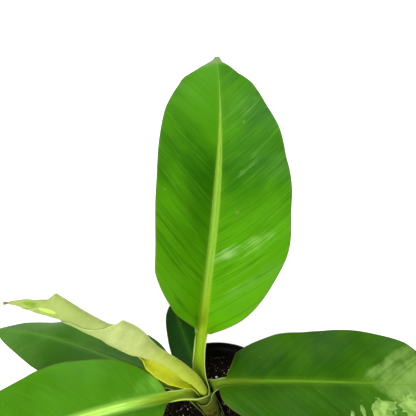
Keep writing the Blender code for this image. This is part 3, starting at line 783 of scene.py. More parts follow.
def leaf_mesh(name, leaf, sizes):
    """The leaf's closed sheet, with the places and marks on it that its finish reads."""
    s = leaf_rows(leaf)
    t = leaf_columns(leaf, s)
    face, dist, widths, vein = leaf_face(leaf, s, t)
    grid = np.ones_like(dist)
    across, u = dist / MM, blade_share(leaf, s)
    share = u[:, None] * grid
    named = zip(("dry", "pale"), leaf.flecks)
    flecks = {key: soft_spots([(*spot, 1.0)], share, across) for key, spot in named}
    return closed_sheet(
        name, face, leaf_thickness(leaf, s, t, sizes),
        across=across, edge=(widths - np.abs(dist)) / MM, vein=vein,
        stage=leaf_stage(leaf, s, dist), rib=rib_width(leaf, u)[:, None] * grid,
        # Where the painted sheen and the painted glare lie
        bloom=soft_spots(leaf.blooms, blade_share(leaf, vein * MM), across),
        patch=soft_spots(leaf.patches, share, across), **flecks,
    )


def roll_mesh(name, thickness):
    """The rolled leaf's closed sheet, with columns closer together towards its outer margin."""
    s = ROLL_LENGTH * MM * np.linspace(0, 1, ROLL_ROWS)
    q = 1 - (1 - np.linspace(0, 1, ROLL_COLUMNS)) ** 1.2
    face, angle, edge, flare, hollow, light = roll_face(s, q)
    return closed_sheet(
        name, face, np.full(angle.shape, thickness),
        angle=np.degrees(angle), edge=edge / MM, along=s[:, None] / MM * np.ones_like(angle),
        # hollow is where the painted shade lies, light where the painted highlight lies
        flare=flare, hollow=hollow, light=light,
    )


def roll_stalk(name):
    """The closed stalk inside the sheaths: a round bar up the stem's axis and on into the roll."""
    low = STEM_FOOT + STEM_UP * np.linspace(0, ROLL_START * MM, 24)[:-1, None]
    high = roll_line(np.linspace(0, ROLL_STALK_REACH * MM, 14))[0]
    points = np.concatenate([low, high])
    radii = np.interp(np.arange(len(points)), [0, len(low), len(points) - 1], ROLL_STALK_RADII) * MM
    return tubes(name, points[None], radii[None], 24)


def add_body(mesh, other):
    """Adds a second closed body to a mesh, whose own attributes stay as they are."""
    bm = bmesh.new()
    bm.from_mesh(mesh)
    bm.from_mesh(other)
    bm.to_mesh(mesh)
    bm.free()
    bpy.data.meshes.remove(other)
    return mesh


# Finishes


class Wire:
    """A node's output that adds, subtracts and multiplies as a number does, with nodes."""

    def __init__(self, finish, socket):
        self.finish, self.socket = finish, socket

    def __add__(self, other):
        return self.finish.math("ADD", self, other)

    def __sub__(self, other):
        return self.finish.math("SUBTRACT", self, other)

    def __mul__(self, other):
        return self.finish.math("MULTIPLY", self, other)

    def __abs__(self):
        return self.finish.math("ABSOLUTE", self)

    def step(self, low, high, to_low=0.0, to_high=1.0):
        """A smooth step between two values, as this one goes from low to high."""
        inputs = {"Value": self, "From Min": low, "From Max": high, "To Min": to_low, "To Max": to_high}
        return self.finish.node("ShaderNodeMapRange", 0, inputs, interpolation_type="SMOOTHSTEP")

    def fade(self, low, high, share=1.0):
        """A smooth step from a share down to nothing."""
        return self.step(low, high, share, 0.0)


class Finish:
    """A material being put together: adds nodes, sets their inputs and joins their sockets."""

    def __init__(self, name):
        self.material = bpy.data.materials.new(name)
        self.material.use_nodes = True
        self.tree = self.material.node_tree
        self.shader = self.tree.nodes["Principled BSDF"]
        self.here = self.node("ShaderNodeTexCoord", "Object")

    def put(self, socket, value):
        """Joins a wire to a socket, or sets the socket to a number or colour."""
        if isinstance(value, Wire):
            self.tree.links.new(value.socket, socket)
        elif isinstance(value, tuple):
            socket.default_value = (*value, 1)
        else:
            socket.default_value = value

    def node(self, kind, out=0, inputs=None, **settings):
        """Adds a node with its settings and inputs, and gives a wire from one of its outputs."""
        node = self.tree.nodes.new(kind)
        for key, value in settings.items():
            setattr(node, key, value)
        for key, value in (inputs or {}).items():
            self.put(node.inputs[key], value)
        return Wire(self, node.outputs[out])

    def set(self, **values):
        """Puts values on the shader's own sockets, named with _ for a space."""
        for key, value in values.items():
            self.put(self.shader.inputs[key.replace("_", " ")], value)

    def values(self, *names):
        """Wires from the mesh's own attributes."""
        return [self.node("ShaderNodeAttribute", "Fac", attribute_name=name) for name in names]

    def math(self, operation, a, b=0.0):
        """One arithmetic step on two wires or numbers."""
        return self.node("ShaderNodeMath", 0, {0: a, 1: b}, operation=operation)

    def blend(self, share, a, b):
        """The first colour where the share is 0, the second where it is 1."""
        return self.node("ShaderNodeMix", 2, {0: share, 6: a, 7: b}, data_type="RGBA")

    def layers(self, colour, *coats):
        """Lays coats of (share, colour) over a colour, one after another."""
        for share, coat in coats:
            colour = self.blend(share, colour, coat)
        return colour

    def noise(self, scale, detail=3.0, roughness=0.5, where=None, **settings):
        """Cloudy noise round 0.5, on the piece's own coordinates or on others."""
        inputs = {"Vector": where or self.here, "Scale": scale, "Detail": detail, "Roughness": roughness}
        return self.node("ShaderNodeTexNoise", 0, inputs, **settings)

    def stripes(self, place, drift, period, detail=2.0):
        """Noise drawn out into lines that follow the place value and change slowly with the drift."""
        inputs = {0: place * (1 / period), 1: drift * (1 / (14 * period))}
        where = self.node("ShaderNodeCombineXYZ", 0, inputs)
        return self.noise(1.0, detail, where=where, noise_dimensions="2D")

    def bump(self, height, strength, distance):
        """Fine relief, which the shader's normal takes and keeps for light that comes through."""
        inputs = {"Height": height, "Strength": strength, "Distance": distance}
        self.relief = self.node("ShaderNodeBump", 0, inputs)
        self.set(Normal=self.relief)

    def through(self, colour, share):
        """Lets some light through the sheet: a share of translucent shading in the given colour."""
        glow = self.node("ShaderNodeBsdfTranslucent", 0, {"Color": colour, "Normal": self.relief})
        surface = Wire(self, self.shader.outputs[0])
        mixed = self.node("ShaderNodeMixShader", 0, {0: share, 1: surface, 2: glow})
        self.put(self.tree.nodes["Material Output"].inputs["Surface"], mixed)


def blade_green(f, tones, fine, middle, coarse, broad):
    """The blade's green: fine, middling and coarse side veins and soft clouds between two tones.

    Across is in millimetres from the midrib, and the stage runs as leaf_stage says.
    """
    across, stage = f.values("across", "stage")
    tone = (fine - 0.5) * (0.10 + 0.04 * tones.veins) + (middle - 0.5) * (0.06 * tones.veins)
    tone = tone + ((coarse - 0.5) * (0.17 * tones.veins) + (broad - 0.5) * tones.clouding)
    # Painted shade beside the midrib on the left half low on the blade, where the fold turns it from the
    # light, lighter towards the top
    if tones.left_shade:
        beside = across.step(-50.0, -14.0) * across.fade(-3.0, 1.0)
        beside = beside * stage.step(1.35, 1.68, 1.0, -0.8) * stage.step(1.12, 1.42)
        tone = tone - beside * tones.left_shade
    deep, bright = tones.deep, tones.bright
    if tones.young:
        young = stage.fade(1.02, 1.5)
        bright = f.blend(young, bright, tones.young)
        deep = f.blend(young * 0.7, deep, tones.young)
    return f.blend(tone.step(-0.16, 0.16), deep, bright)


def blade_marks(f, tones, middle):
    """Coats over the green: painted shade in creases, pale veins, streaks of painted sheen, ragged patches
    of painted glare, painted glare at the tip, and flecks.
    """
    names = ("vein", "across", "stage", "bloom", "patch")
    vein, across, stage, bloom, patch = f.values(*names)
    away = abs(across)
    # Painted shade in the creases along the side veins, strongest low on the blade
    crease_shade = abs(f.stripes(vein, across, 12.0, 1.0) - 0.5).fade(0.004, 0.03)
    crease_shade = crease_shade * (stage + away * -0.004).step(0.95, 1.55, 0.36 * tones.veins, 0.04)
    # Streaks of painted sheen along the veins where the sheen spots lie
    cloud = (f.noise(85.0) - 0.5) + (middle - 0.5) * tones.bloom_lines
    sheen_streak = (bloom + cloud * tones.wisps).step(0.15, 1.05, 0.0, 0.7) * bloom.step(0.06, 0.42)
    # Ragged patches of painted glare, their strength broken up by noise
    ragged_glare = (patch + (f.noise(130.0, 4.0, 0.6) - 0.5) * 2.0).step(0.48, 0.60)
    glare_strength = f.noise(150.0).step(0.35, 0.65, 0.4, 0.95)
    coats = [
        (crease_shade, scaled(tones.deep, 0.55)),
        (middle.step(0.60, 0.80) * (0.09 * tones.veins), tones.rib),
        (sheen_streak, tones.bloom),
        (ragged_glare * glare_strength, tones.patch or tones.bloom),
    ]
    # Painted glare over the blade's tip
    if tones.tip_glare:
        tip = stage + (away * 0.0022 + (f.noise(60.0) - 0.5) * 0.03)
        coats.append((tip.step(1.940, 1.975, 0.0, 0.85), tones.tip_glare))
    if tones.flecks:
        dry, pale = f.values("dry", "pale")
        mottle = dry * f.noise(500.0, 2.0).step(0.35, 0.6, 0.3, 1.0)
        coats.append((mottle.step(0.2, 0.8, 0.0, 0.7), tones.flecks[0]))
        coats.append((pale.step(0.2, 0.8, 0.0, 0.8), tones.flecks[1]))
    return coats


def blade_colour(f, tones, fine, coarse, broad):
    """The marked green, a paler underside, the pale midrib with its halo, and a thin brown edge."""
    names = ("vein", "across", "edge", "stage", "rib", "upper")
    vein, across, edge, stage, rib, upper = f.values(*names)
    middle = f.stripes(vein, across, 2.6, 1.0)
    green = blade_green(f, tones, fine, middle, coarse, broad)
    colour = f.layers(green, *blade_marks(f, tones, middle))
    under = f.blend((fine * 0.4 + coarse * 0.6).step(0.35, 0.65), tones.under, colour)
    under = f.blend(0.7, under, tones.under)
    beside = abs(across) - rib
    # A greener line just right of the midrib's middle: painted shade in its groove
    groove = abs(across - rib * 0.35).fade(0.1, 0.8, 0.35)
    threads = f.stripes(across, vein, 0.8, 1.0).step(0.4, 0.7, 0.0, 0.3)
    ribbed = f.blend(groove + threads, tones.rib, tones.bright)
    rib_share = tones.rib_share
    if tones.rib_end:
        rib_share = stage.step(tones.rib_end, tones.rib_end + 0.1, rib_share, 0.2)
    return f.layers(
        colour,
        (upper.fade(0.4, 0.6, 0.9), under),
        # A pale halo in the rib's colour beside the midrib; where it is wide, as on the front left leaf, it
        # is partly a painted highlight along the midrib
        (beside.fade(-0.5, 4.0, tones.halo), tones.rib),
        (beside.fade(-0.9, 0.3) * rib_share, ribbed),
        (edge.fade(0.1, 0.7, 0.7), MARGIN_BROWN),
        (f.noise(420.0, 1.0).step(0.755, 0.785, 0.0, 0.4), SPECK),
    )


def stalk_colour(f, tones):
    """Olive sheath with pale margins and brown spots, and a brighter stalk with fine lines."""
    stage, across, edge, upper = f.values("stage", "across", "edge", "upper")
    colour = f.blend(stage.step(-1.0, 0.0), tones.foot, tones.sheath)
    colour = f.blend(stage.step(0.15, 0.6), colour, tones.stalk)
    # A paler inner face on the sheath and stalk: partly its own whitish green, partly painted light lifting
    # the shade in the channel near the stem
    if tones.inside:
        inside = upper.step(0.4, 0.6) * stage.fade(0.2, 0.9, 0.8)
        colour = f.blend(inside, colour, tones.inside)
    lines = f.stripes(across, stage * 40.0, 0.9)
    spots = f.noise(150.0, 4.0, 0.65).step(0.49, 0.60) * stage.fade(-0.22, 0.04, 0.85)
    return f.layers(
        colour,
        (lines.step(0.45, 0.7, 0.0, 0.35), tones.sheath_dark),
        (edge.fade(0.3, 1.3, 0.75), tones.pale_edge),
        (spots, SPOT_BROWN),
    )


def leaf_finish(name, tones):
    """A blade with side veins and a pale midrib, over an olive stalk and sheath."""
    f = Finish(name)
    vein, across, rib, stage, upper = f.values("vein", "across", "rib", "stage", "upper")
    fine, coarse, broad = f.stripes(vein, across, 0.9), f.stripes(vein, across, 15.0), f.noise(16.0)
    place = stage - (abs(across) - rib).fade(-0.5, 2.0, 0.16)
    blade = blade_colour(f, tones, fine, coarse, broad)
    colour = f.blend(place.step(0.86, 1.06), stalk_colour(f, tones), blade)
    gloss = coarse * 0.12 + broad * 0.12 + upper.step(0.4, 0.6, 0.46, 0.26)
    f.set(Base_Color=colour, Roughness=gloss, Specular_IOR_Level=0.06, IOR=1.45)
    height = fine * 0.45 + coarse * 0.55
    f.bump(height * stage.step(0.95, 1.05, 0.3, 1.0), 0.20, 0.0006)
    f.through(f.blend(0.5, colour, tones.glow), tones.through)
    return f.material


def regreened(tones, bright):
    """A leaf's tones with its greens changed by as much as its brightest one."""
    change = [new / old for new, old in zip(bright, tones.bright)]
    greens = {
        key: tuple(min(1.0, a * b) for a, b in zip(getattr(tones, key), change))
        for key in ("deep", "bright", "young") if getattr(tones, key)
    }
    return replace(tones, **greens)


def roll_finish(name, roll):
    """Pale young tissue: fine veins nearly across the roll, yellow low down, brown at the tip, painted shade
    in its hollow and a painted highlight.
    """
    f = Finish(name)
    names = ("angle", "edge", "along", "upper", "hollow", "light", "flare")
    angle, edge, along, outer, hollow, light, flare = f.values(*names)
    place = along + angle * 0.06
    fine, coarse, broad = f.stripes(place, angle, 0.9), f.stripes(place, angle, 6.0, 1.0), f.noise(26.0)
    shade = (fine * 0.25 + (coarse * 0.25 + broad * 0.50)).step(0.36, 0.66)
    low = f.blend(shade, (0.33, 0.43, 0.020), (0.43, 0.51, 0.055))
    high = f.blend(shade, scaled(roll.pale, 0.70), tuple(roll.pale))
    # The bright yellow of the inner face low down, and of the flap's outer face near its margin, is partly
    # the young tissue's own colour and partly painted light shining through the thin sheet and lifting the
    # shade inside the roll
    veined = f.blend(fine.step(0.35, 0.65), (0.74, 0.78, 0.014), tuple(roll.yellow))
    inner = f.blend(along.step(90.0, 130.0), veined, (0.24, 0.44, 0.015))
    colour = f.layers(
        f.blend(along.step(55.0, 125.0), low, high),
        (along.step(120.0, 165.0, 0.0, 0.55), (0.27, 0.37, 0.055)),
        # Painted shade in the hollow
        (hollow.step(0.35, 0.75, 0.0, 0.85), (0.16, 0.33, 0.012)),
        # Painted highlight: a bright green spot
        (light.step(0.30, 0.36, 0.0, 0.85), (0.62, 0.98, 0.13)),
        (edge.fade(0.2, 1.4, 0.5), (0.60, 0.66, 0.28)),
        (outer.fade(0.4, 0.6), inner),
        # The flap's outer face in the bright yellow, partly painted light through it
        (flare.step(0.25, 1.2) * along.fade(94.0, 100.0), veined),
        ((along + broad * 6.0).step(209.0, 214.0), tuple(roll.tip)),
    )
    f.set(Base_Color=colour, Roughness=0.5, Specular_IOR_Level=0.2)
    f.bump(fine * 0.5 + coarse * 0.5, 0.3, 0.0005)
    f.through((0.70, 0.78, 0.05), 0.34)
    return f.material


def plain_finish(name, light, share, roughness, scale, bump=0.0, shine=0.2):
    """A colour mottled with a darker share of it, and a grain to match."""
    f = Finish(name)
    grain = f.noise(scale, 6.0, 0.6)
    colour = f.blend(grain.step(0.3, 0.7), scaled(light, share), tuple(light))
    f.set(Base_Color=colour, Roughness=roughness, Specular_IOR_Level=shine)
    if bump:
        f.bump(grain, 0.6, bump)
    return f.material


# Pot, soil and what lies on it


def turned(profile, steps):
    """Rows of points: the profile's (radius, height) places carried round Z."""
    turn = 2 * math.pi * np.arange(steps) / steps
    radius, height = np.asarray(profile, dtype=float).T
    x = radius[:, None] * np.cos(turn)
    y = radius[:, None] * np.sin(turn)
    return np.stack([x, y, np.broadcast_to(height[:, None], x.shape)], -1)


def rounded(corners, reach, steps=5):
    """A profile with eased corners: each becomes the curve (1-x)^2 start + 2x(1-x) corner + x^2 end."""
    corners = np.asarray(corners, dtype=float)
    out = [corners[:1]]
    share = np.linspace(0, 1, steps)[:, None]
    for before, corner, after in zip(corners[:-2], corners[1:-1], corners[2:]):
        cut_in = min(reach, 0.45 * np.linalg.norm(corner - before))
        cut_out = min(reach, 0.45 * np.linalg.norm(after - corner))
        start = corner + unit(before - corner) * cut_in
        end = corner + unit(after - corner) * cut_out
        out.append((1 - share) ** 2 * start + 2 * share * (1 - share) * corner + share**2 * end)
    out.append(corners[-1:])
    return np.concatenate(out)


def join_parts(name, parts, distance=1e-6):
    """One mesh from (points, faces) parts, joined where their points meet, facing outwards."""
    start, points, groups = 0, [], []
    for part_points, faces in parts:
        points.append(part_points.reshape(-1, 3))
        groups.append(faces + start)
        start += len(points[-1])
    mesh = mesh_from(name, np.concatenate(points), groups)
    bm = bmesh.new()
    bm.from_mesh(mesh)
    bmesh.ops.remove_doubles(bm, verts=bm.verts[:], dist=distance)
    bmesh.ops.dissolve_degenerate(bm, edges=bm.edges[:], dist=distance)
    bmesh.ops.recalc_face_normals(bm, faces=bm.faces[:])
    bm.to_mesh(mesh)
    bm.free()
    mesh.shade_smooth()
    return mesh


def wall_radius(pot, z):
    """Outer radius of the pot's wall at height z: straight from the foot to under the collar."""
    under_collar = pot.height - pot.collar_height
    return pot.base_radius + (pot.rim_radius - pot.collar_step - pot.base_radius) * z / under_collar


def inner_radius(pot, z, gap=0.0):
    """Inner radius of the pot's wall at height z, less a gap."""
    return wall_radius(pot, z) - pot.wall - gap


def drain_patch(pot, k, z):
    """Floor round one drain hole: rings that blend from the hole's circle to a sector's outline."""
    count = POT_STEPS // DRAIN_HOLES
    turn = 2 * math.pi * (k + np.arange(count + 1) / count) / DRAIN_HOLES
    arc = np.stack([np.cos(turn), np.sin(turn)], -1)
    share = np.linspace(0, 1, 9)[1:-1, None]
    inner, outer = arc * DRAIN_BAND[0], arc * DRAIN_BAND[1]
    outline = np.concatenate([
        inner, inner[-1] * (1 - share) + outer[-1] * share,
        outer[::-1], outer[0] * (1 - share) + inner[0] * share,
    ])
    middle = 0.5 * sum(DRAIN_BAND) * np.array([math.cos(turn[count // 2]), math.sin(turn[count // 2])])
    circle = middle + pot.drain_radius * unit(outline - middle)
    share = np.linspace(0, 1, FLOOR_RINGS)[:, None, None]
    flat = circle * (1 - share) + outline * share
    return np.concatenate([flat, np.full((*flat.shape[:2], 1), z)], -1)


def pot_mesh(pot):
    """A turned wall with a stepped rim, and a floor of sector patches with a hole in each."""
    under = pot.height - pot.collar_height
    inner_under = under + 1.5 * MM
    corners = [
        (DRAIN_BAND[1], pot.floor), (inner_radius(pot, pot.floor), pot.floor),
        (inner_radius(pot, inner_under), inner_under),
        (pot.rim_radius - pot.wall, inner_under + 1.2 * MM), (pot.rim_radius - pot.wall, pot.height),
        (pot.rim_radius, pot.height), (pot.rim_radius, under), (wall_radius(pot, under), under),
        (wall_radius(pot, 0), 0), (DRAIN_BAND[1], 0),
    ]
    wall = turned(rounded(corners, 0.75 * MM, 6), POT_STEPS)
    parts = [(wall, round_faces(len(wall), POT_STEPS))]
    for z in (pot.floor, 0):
        disc = turned([(DRAIN_BAND[0] * k / FLOOR_RINGS, z) for k in range(FLOOR_RINGS + 1)], POT_STEPS)
        parts.append((disc, round_faces(len(disc), POT_STEPS)))
    for k in range(DRAIN_HOLES):
        top, low = drain_patch(pot, k, pot.floor), drain_patch(pot, k, 0)
        for part in (top, low, np.stack([top[0], low[0]])):
            parts.append((part, round_faces(*part.shape[:2])))
    mesh = join_parts("pot", parts)
    mesh.set_sharp_from_angle(angle=math.radians(50))
    return mesh


def soil_height(soil, x, y):
    """Height of the soil's top: crossed waves, crumbs, and a low mound round the stem."""
    a, b = x / MM, y / MM
    waves = np.sin(0.19 * a + 0.6) * np.cos(0.23 * b) + 0.6 * np.sin(0.27 * a - 0.24 * b + 1.1)
    waves = waves + 0.5 * np.sin(0.31 * b + 0.36 * a) + 0.4 * np.sin(0.44 * a - 0.17 * b)
    crumbs = 0.75 * lumps(a, b, 3.4, 31) + 0.5 * lumps(a + 9, b, 1.7, 32) + 0.3 * lumps(a, b + 5, 0.9, 33)
    foot = STEM_FOOT + STEM_UP * (soil.level - STEM_FOOT[2]) / STEM_UP[2]
    near = np.hypot(x - foot[0], y - foot[1]) / MM
    return soil.level + (0.65 * waves + crumbs + 1.6 * np.exp(-((near / 13) ** 2))) * MM


def soil_mesh(pot, soil):
    """Rings over the soil's crumbled top, then down the wall and across the bottom."""
    inside = inner_radius(pot, soil.level, 0.2 * MM)
    low = pot.floor + SOIL_GAP
    rings = [(inside * k / SOIL_RINGS, soil.level) for k in range(SOIL_RINGS + 1)]
    side = [(inner_radius(pot, z, SOIL_GAP), z) for z in np.linspace(soil.level - 2 * MM, low, 8)]
    points = turned(rings + side + [(0, low)], SOIL_STEPS)
    top = points[: SOIL_RINGS + 1]
    share = 1 - ease((np.hypot(top[..., 0], top[..., 1]) / inside - 0.965) / 0.035)
    top[..., 2] += (soil_height(soil, top[..., 0], top[..., 1]) - soil.level) * share
    return join_parts("soil", [(points, round_faces(len(points), SOIL_STEPS))])


def soil_places(pot, soil, rng, count, inner=11 * MM):
    """Random places on the soil's top, evenly dense: each reach is the root of an even draw."""
    inside = inner_radius(pot, soil.level, 2 * MM)
    reach = np.sqrt(rng.uniform((inner / inside) ** 2, 1, count)) * inside
    turn = rng.uniform(0, 2 * math.pi, count)
    x, y = reach * np.cos(turn), reach * np.sin(turn)
    return np.stack([x, y, soil_height(soil, x, y)], -1)


def random_turns(rng, count):
    """Rotation matrices from random unit quaternions."""
    w, x, y, z = unit(rng.normal(size=(count, 4))).T
    return np.array([
        [1 - 2 * (y * y + z * z), 2 * (x * y - z * w), 2 * (x * z + y * w)],
        [2 * (x * y + z * w), 1 - 2 * (x * x + z * z), 2 * (y * z - x * w)],
        [2 * (x * z - y * w), 2 * (y * z + x * w), 1 - 2 * (x * x + y * y)],
    ]).transpose(2, 0, 1)


def stones_mesh(name, rng, places, size, stretch, rough, detail, lift):
    """Many small lumps: a faceted ball with each point moved a little, stretched, turned, placed."""
    bm = bmesh.new()
    bmesh.ops.create_icosphere(bm, subdivisions=detail, radius=1)
    ball = np.array([v.co for v in bm.verts])
    faces = np.array([[v.index for v in f.verts] for f in bm.faces])
    bm.free()
    count = len(places)
    sizes = rng.uniform(size[0], size[1], (count, 1, 1)) * MM
    shape = ball * rng.uniform(1 - rough, 1 + rough, (count, len(ball), 1))
    shape = shape * np.array(stretch) * rng.uniform(0.75, 1.25, (count, 1, 3)) * sizes
    shape = np.einsum("nij,nkj->nki", random_turns(rng, count), shape)
    shape[..., 2] += lift * sizes[..., 0]
    points = places[:, None] + shape
    faces = faces[None] + np.arange(count)[:, None, None] * len(ball)
    return mesh_from(name, points.reshape(-1, 3), [faces.reshape(-1, 3)])


def tubes(name, paths, radii, sides=5):
    """Round strands: each path plus its radius times (cos, sin) across it, closed at both ends."""
    count, steps = paths.shape[:2]
    along = unit(np.gradient(paths, axis=1))
    first = unit(np.cross(along, [0.3, 0.2, 1.0]))
    second = np.cross(along, first)
    turn = 2 * math.pi * np.arange(sides) / sides
    rim = np.cos(turn)[:, None] * first[:, :, None] + np.sin(turn)[:, None] * second[:, :, None]
    points = paths[:, :, None] + radii[..., None, None] * rim
    body = round_faces(steps, sides)
    start = np.arange(count)[:, None, None] * steps * sides
    last = (steps - 1) * sides
    ends = [np.arange(sides)[None, None, ::-1] + start, np.arange(sides)[None, None] + last + start]
    groups = [(body[None] + start).reshape(-1, 4), *[end.reshape(-1, sides) for end in ends]]
    return mesh_from(name, points.reshape(-1, 3), groups)


def fibres_mesh(pot, soil, rng):
    """Fine roots and coir on the soil: equal steps whose heading turns evenly, lifted by half a sine."""
    each = (soil.fibres, 1)
    start = soil_places(pot, soil, rng, soil.fibres, 12 * MM)
    step = rng.uniform(*FIBRE_LENGTHS, each) * MM / (FIBRE_STEPS - 1)
    share = np.linspace(0, 1, FIBRE_STEPS)
    heading = rng.uniform(0, 2 * math.pi, each) + rng.uniform(-FIBRE_WANDER, FIBRE_WANDER, each) * share
    x = start[:, :1] + np.cumsum(np.cos(heading), 1) * step
    y = start[:, 1:2] + np.cumsum(np.sin(heading), 1) * step
    shrink = np.minimum(1, inner_radius(pot, soil.level, 1.5 * MM) / np.hypot(x, y))
    x, y = x * shrink, y * shrink
    z = soil_height(soil, x, y) + rng.uniform(*FIBRE_LIFTS, each) * np.sin(math.pi * share) * MM
    radius = rng.uniform(*FIBRE_RADII, each) * MM * (1 - 0.8 * np.abs(2 * share - 1) ** 3)
    return tubes("fibres", np.stack([x, y, z], -1), radius)


# Stage


def stage_camera(stage):
    """The camera in front of the plant and above it, looking down by its pitch."""
    data = bpy.data.cameras.new("camera")
    data.lens = stage.lens
    data.sensor_width = SENSOR
    camera = add_object("camera", data)
    camera.location = CAMERA_PLACE
    camera.rotation_euler = (math.pi / 2 - stage.pitch, 0, 0)
    bpy.context.scene.camera = camera


def stage_floor(stage):
    """A pale floor that curves up far behind by a quarter circle: a profile carried sideways."""
    turn = np.linspace(0, math.pi / 2, 24)
    front, back = FLOOR_ENDS
    y = np.concatenate([[front, back], back + np.sin(turn), [back + 1.0]])
    z = np.concatenate([[0.0, 0.0], 1.0 - np.cos(turn), [FLOOR_TOP]])
    x = np.array([-FLOOR_HALF, FLOOR_HALF])
    points = np.stack(np.broadcast_arrays(x[None], y[:, None], z[:, None]), -1)
    i = np.arange(len(y) - 1)[:, None] * 2
    mesh = mesh_from("floor", points.reshape(-1, 3), [i + np.array([[0, 1, 3, 2]])])
    mesh.materials.append(plain_finish("floor_paper", stage.floor, 0.985, 0.9, 6.0))
    floor = add_object("floor", mesh)


def stage_lights(stage):
    """White light all round, and two round lamps that face the plant."""
    world = bpy.data.worlds.new("studio")
    world.use_nodes = True
    background = world.node_tree.nodes["Background"]
    background.inputs["Color"].default_value = (1, 1, 1, 1)
    background.inputs["Strength"].default_value = stage.sky
    bpy.context.scene.world = world
    lamps = (
        ("key", (-0.45, -1.55, 1.25), 1.0, stage.key_power),
        ("top", (0.2, 1.2, 2.6), 2.4, stage.top_power),
    )
    for name, place, size, power in lamps:
        data = bpy.data.lights.new(name, "AREA")
        data.shape = "DISK"
        data.size = size
        data.energy = power
        lamp = add_object(name, data)
        lamp.location = place
        lamp.rotation_euler = (LAMP_AIM - Vector(place)).to_track_quat("-Z", "Y").to_euler()


# Settings


def quantity(name, description, value, **kind):
    """A setting that holds one number."""
    return FloatProperty(name=name, description=description, default=value, **kind)


def length(name, description, mm):
    """A setting that holds a length, whose default is given in millimetres."""
    return quantity(name, description, mm * MM, min=0.0, unit="LENGTH", precision=4)


def tint(name, description, value):
    """A setting that holds a colour."""
    return FloatVectorProperty(
        name=name, description=description, default=value, subtype="COLOR", size=3, min=0.0, max=1.0
    )


def leaf_green(words):
    """The brightest green of the leaf that these words name."""
    tones = LEAVES["leaf_" + words.replace(" ", "_")].tones
    return tint(words.capitalize() + " leaf", f"Brightest green of the {words} blade", tones.bright)


def number(name, description, value):
    """A setting that holds how many there are."""
    return IntProperty(name=name, description=description, default=value, min=1, soft_max=2000)


class LeafSettings(bpy.types.PropertyGroup):
    """Thicknesses and greens of the five open leaves."""

    blade: length("Blade thickness", "Thickness of a blade away from its midrib", 0.42)
    sheath: length("Sheath thickness", "Thickness of the sheaths round the stem", 0.5)
    stalk: length("Stalk thickness", "Thickness of a stalk along its middle", 2.4)
    upright: leaf_green("upright")
    front_left: leaf_green("front left")
    right: leaf_green("right")
    left: leaf_green("left")
    back: leaf_green("back")


class RollSettings(bpy.types.PropertyGroup):
    """Thickness and colours of the leaf that is still rolled up."""

    thickness: length("Thickness", "Thickness of the rolled sheet", 0.42)
    pale: tint("Pale green", "Palest green on the outside of the roll", (0.56, 0.64, 0.23))
    yellow: tint("Yellow", "Brightest yellow on the sheet's inner face", (0.88, 0.92, 0.07))
    tip: tint("Dry tip", "Brown of the dried tip", (0.22, 0.15, 0.07))


class PotSettings(bpy.types.PropertyGroup):
    """Sizes and colour of the nursery pot."""

    rim_radius: length("Rim radius", "Outer radius of the pot's rim", 76)
    height: length("Height", "Height of the pot", 125)
    base_radius: length("Base radius", "Outer radius of the pot's underside", 54)
    wall: length("Wall", "Thickness of the pot's wall", 1.6)
    floor: length("Floor", "Thickness of the pot's floor", 2.2)
    collar_height: length("Collar height", "Height of the wider collar under the rim", 11)
    collar_step: length("Collar step", "How far the collar stands out from the wall", 3)
    drain_radius: length("Drain radius", "Radius of each drain hole in the floor", 4.5)
    plastic: tint("Plastic", "Lightest tone of the plastic", (0.0055, 0.005, 0.0045))


class SoilSettings(bpy.types.PropertyGroup):
    """Level and colours of the soil, and what lies on it."""

    level: length("Level", "Mean height of the soil's top over the pot's underside", 108)
    grains: number("Perlite grains", "Number of large perlite grains", 100)
    dust: number("Perlite dust", "Number of small perlite grains", 380)
    bark: number("Bark chips", "Number of bark chips", 420)
    fibres: number("Fibres", "Number of roots and coir fibres", 260)
    seed: IntProperty(name="Seed", description="Changes where the grains and fibres lie", default=7, min=0)
    peat: tint("Peat", "Lightest tone of the peat", (0.0080, 0.0057, 0.0032))
    perlite: tint("Perlite", "Lightest tone of the perlite", (0.85, 0.84, 0.80))
    wood: tint("Bark", "Lightest tone of bark and fibres", (0.055, 0.029, 0.012))
    corm: tint("Corm", "Lightest tone of the corm in the soil", (0.34, 0.26, 0.14))


class StageSettings(bpy.types.PropertyGroup):
    """Floor, light and camera."""

    floor: tint("Floor", "Colour of the floor", (0.88, 0.88, 0.88))
    sky: quantity("Sky", "Strength of the white light all round", 0.5, min=0.0)
    key_power: quantity("Key lamp", "Power of the lamp in front", 40.0, min=0.0, unit="POWER")
    top_power: quantity("Top lamp", "Power of the lamp above", 90.0, min=0.0, unit="POWER")
    pitch: quantity("Pitch", "How far the camera looks down", math.radians(45), subtype="ANGLE")
    lens: quantity("Lens", "Focal length of the camera", LENS, min=1.0, unit="CAMERA")


# Building steps and their panel


class PLANT_OT_open_leaves(bpy.types.Operator):
    """Build the five open leaves, each one closed sheet with its sheath, stalk and blade"""

    bl_idname = "plant.open_leaves"
    bl_label = "Open leaves"

    def execute(self, context):
        sizes = context.scene.plant_leaves
        for name, leaf in LEAVES.items():
            tones = regreened(leaf.tones, getattr(sizes, name.removeprefix("leaf_")))
            looks = leaf_finish(name + "_looks", tones)
            place_piece(name + "_grown", leaf_mesh(name, leaf, sizes), looks, name)
        return {"FINISHED"}


class PLANT_OT_rolled_leaf(bpy.types.Operator):
    """Build the young leaf that is still rolled up"""

    bl_idname = "plant.rolled_leaf"
    bl_label = "Rolled leaf"

    def execute(self, context):
        roll = context.scene.plant_roll
        looks = roll_finish("leaf_rolled_looks", roll)
        mesh = add_body(roll_mesh("roll", roll.thickness), roll_stalk("roll_stalk"))
        place_piece("leaf_rolled_grown", mesh, looks, "leaf_rolled")
        return {"FINISHED"}


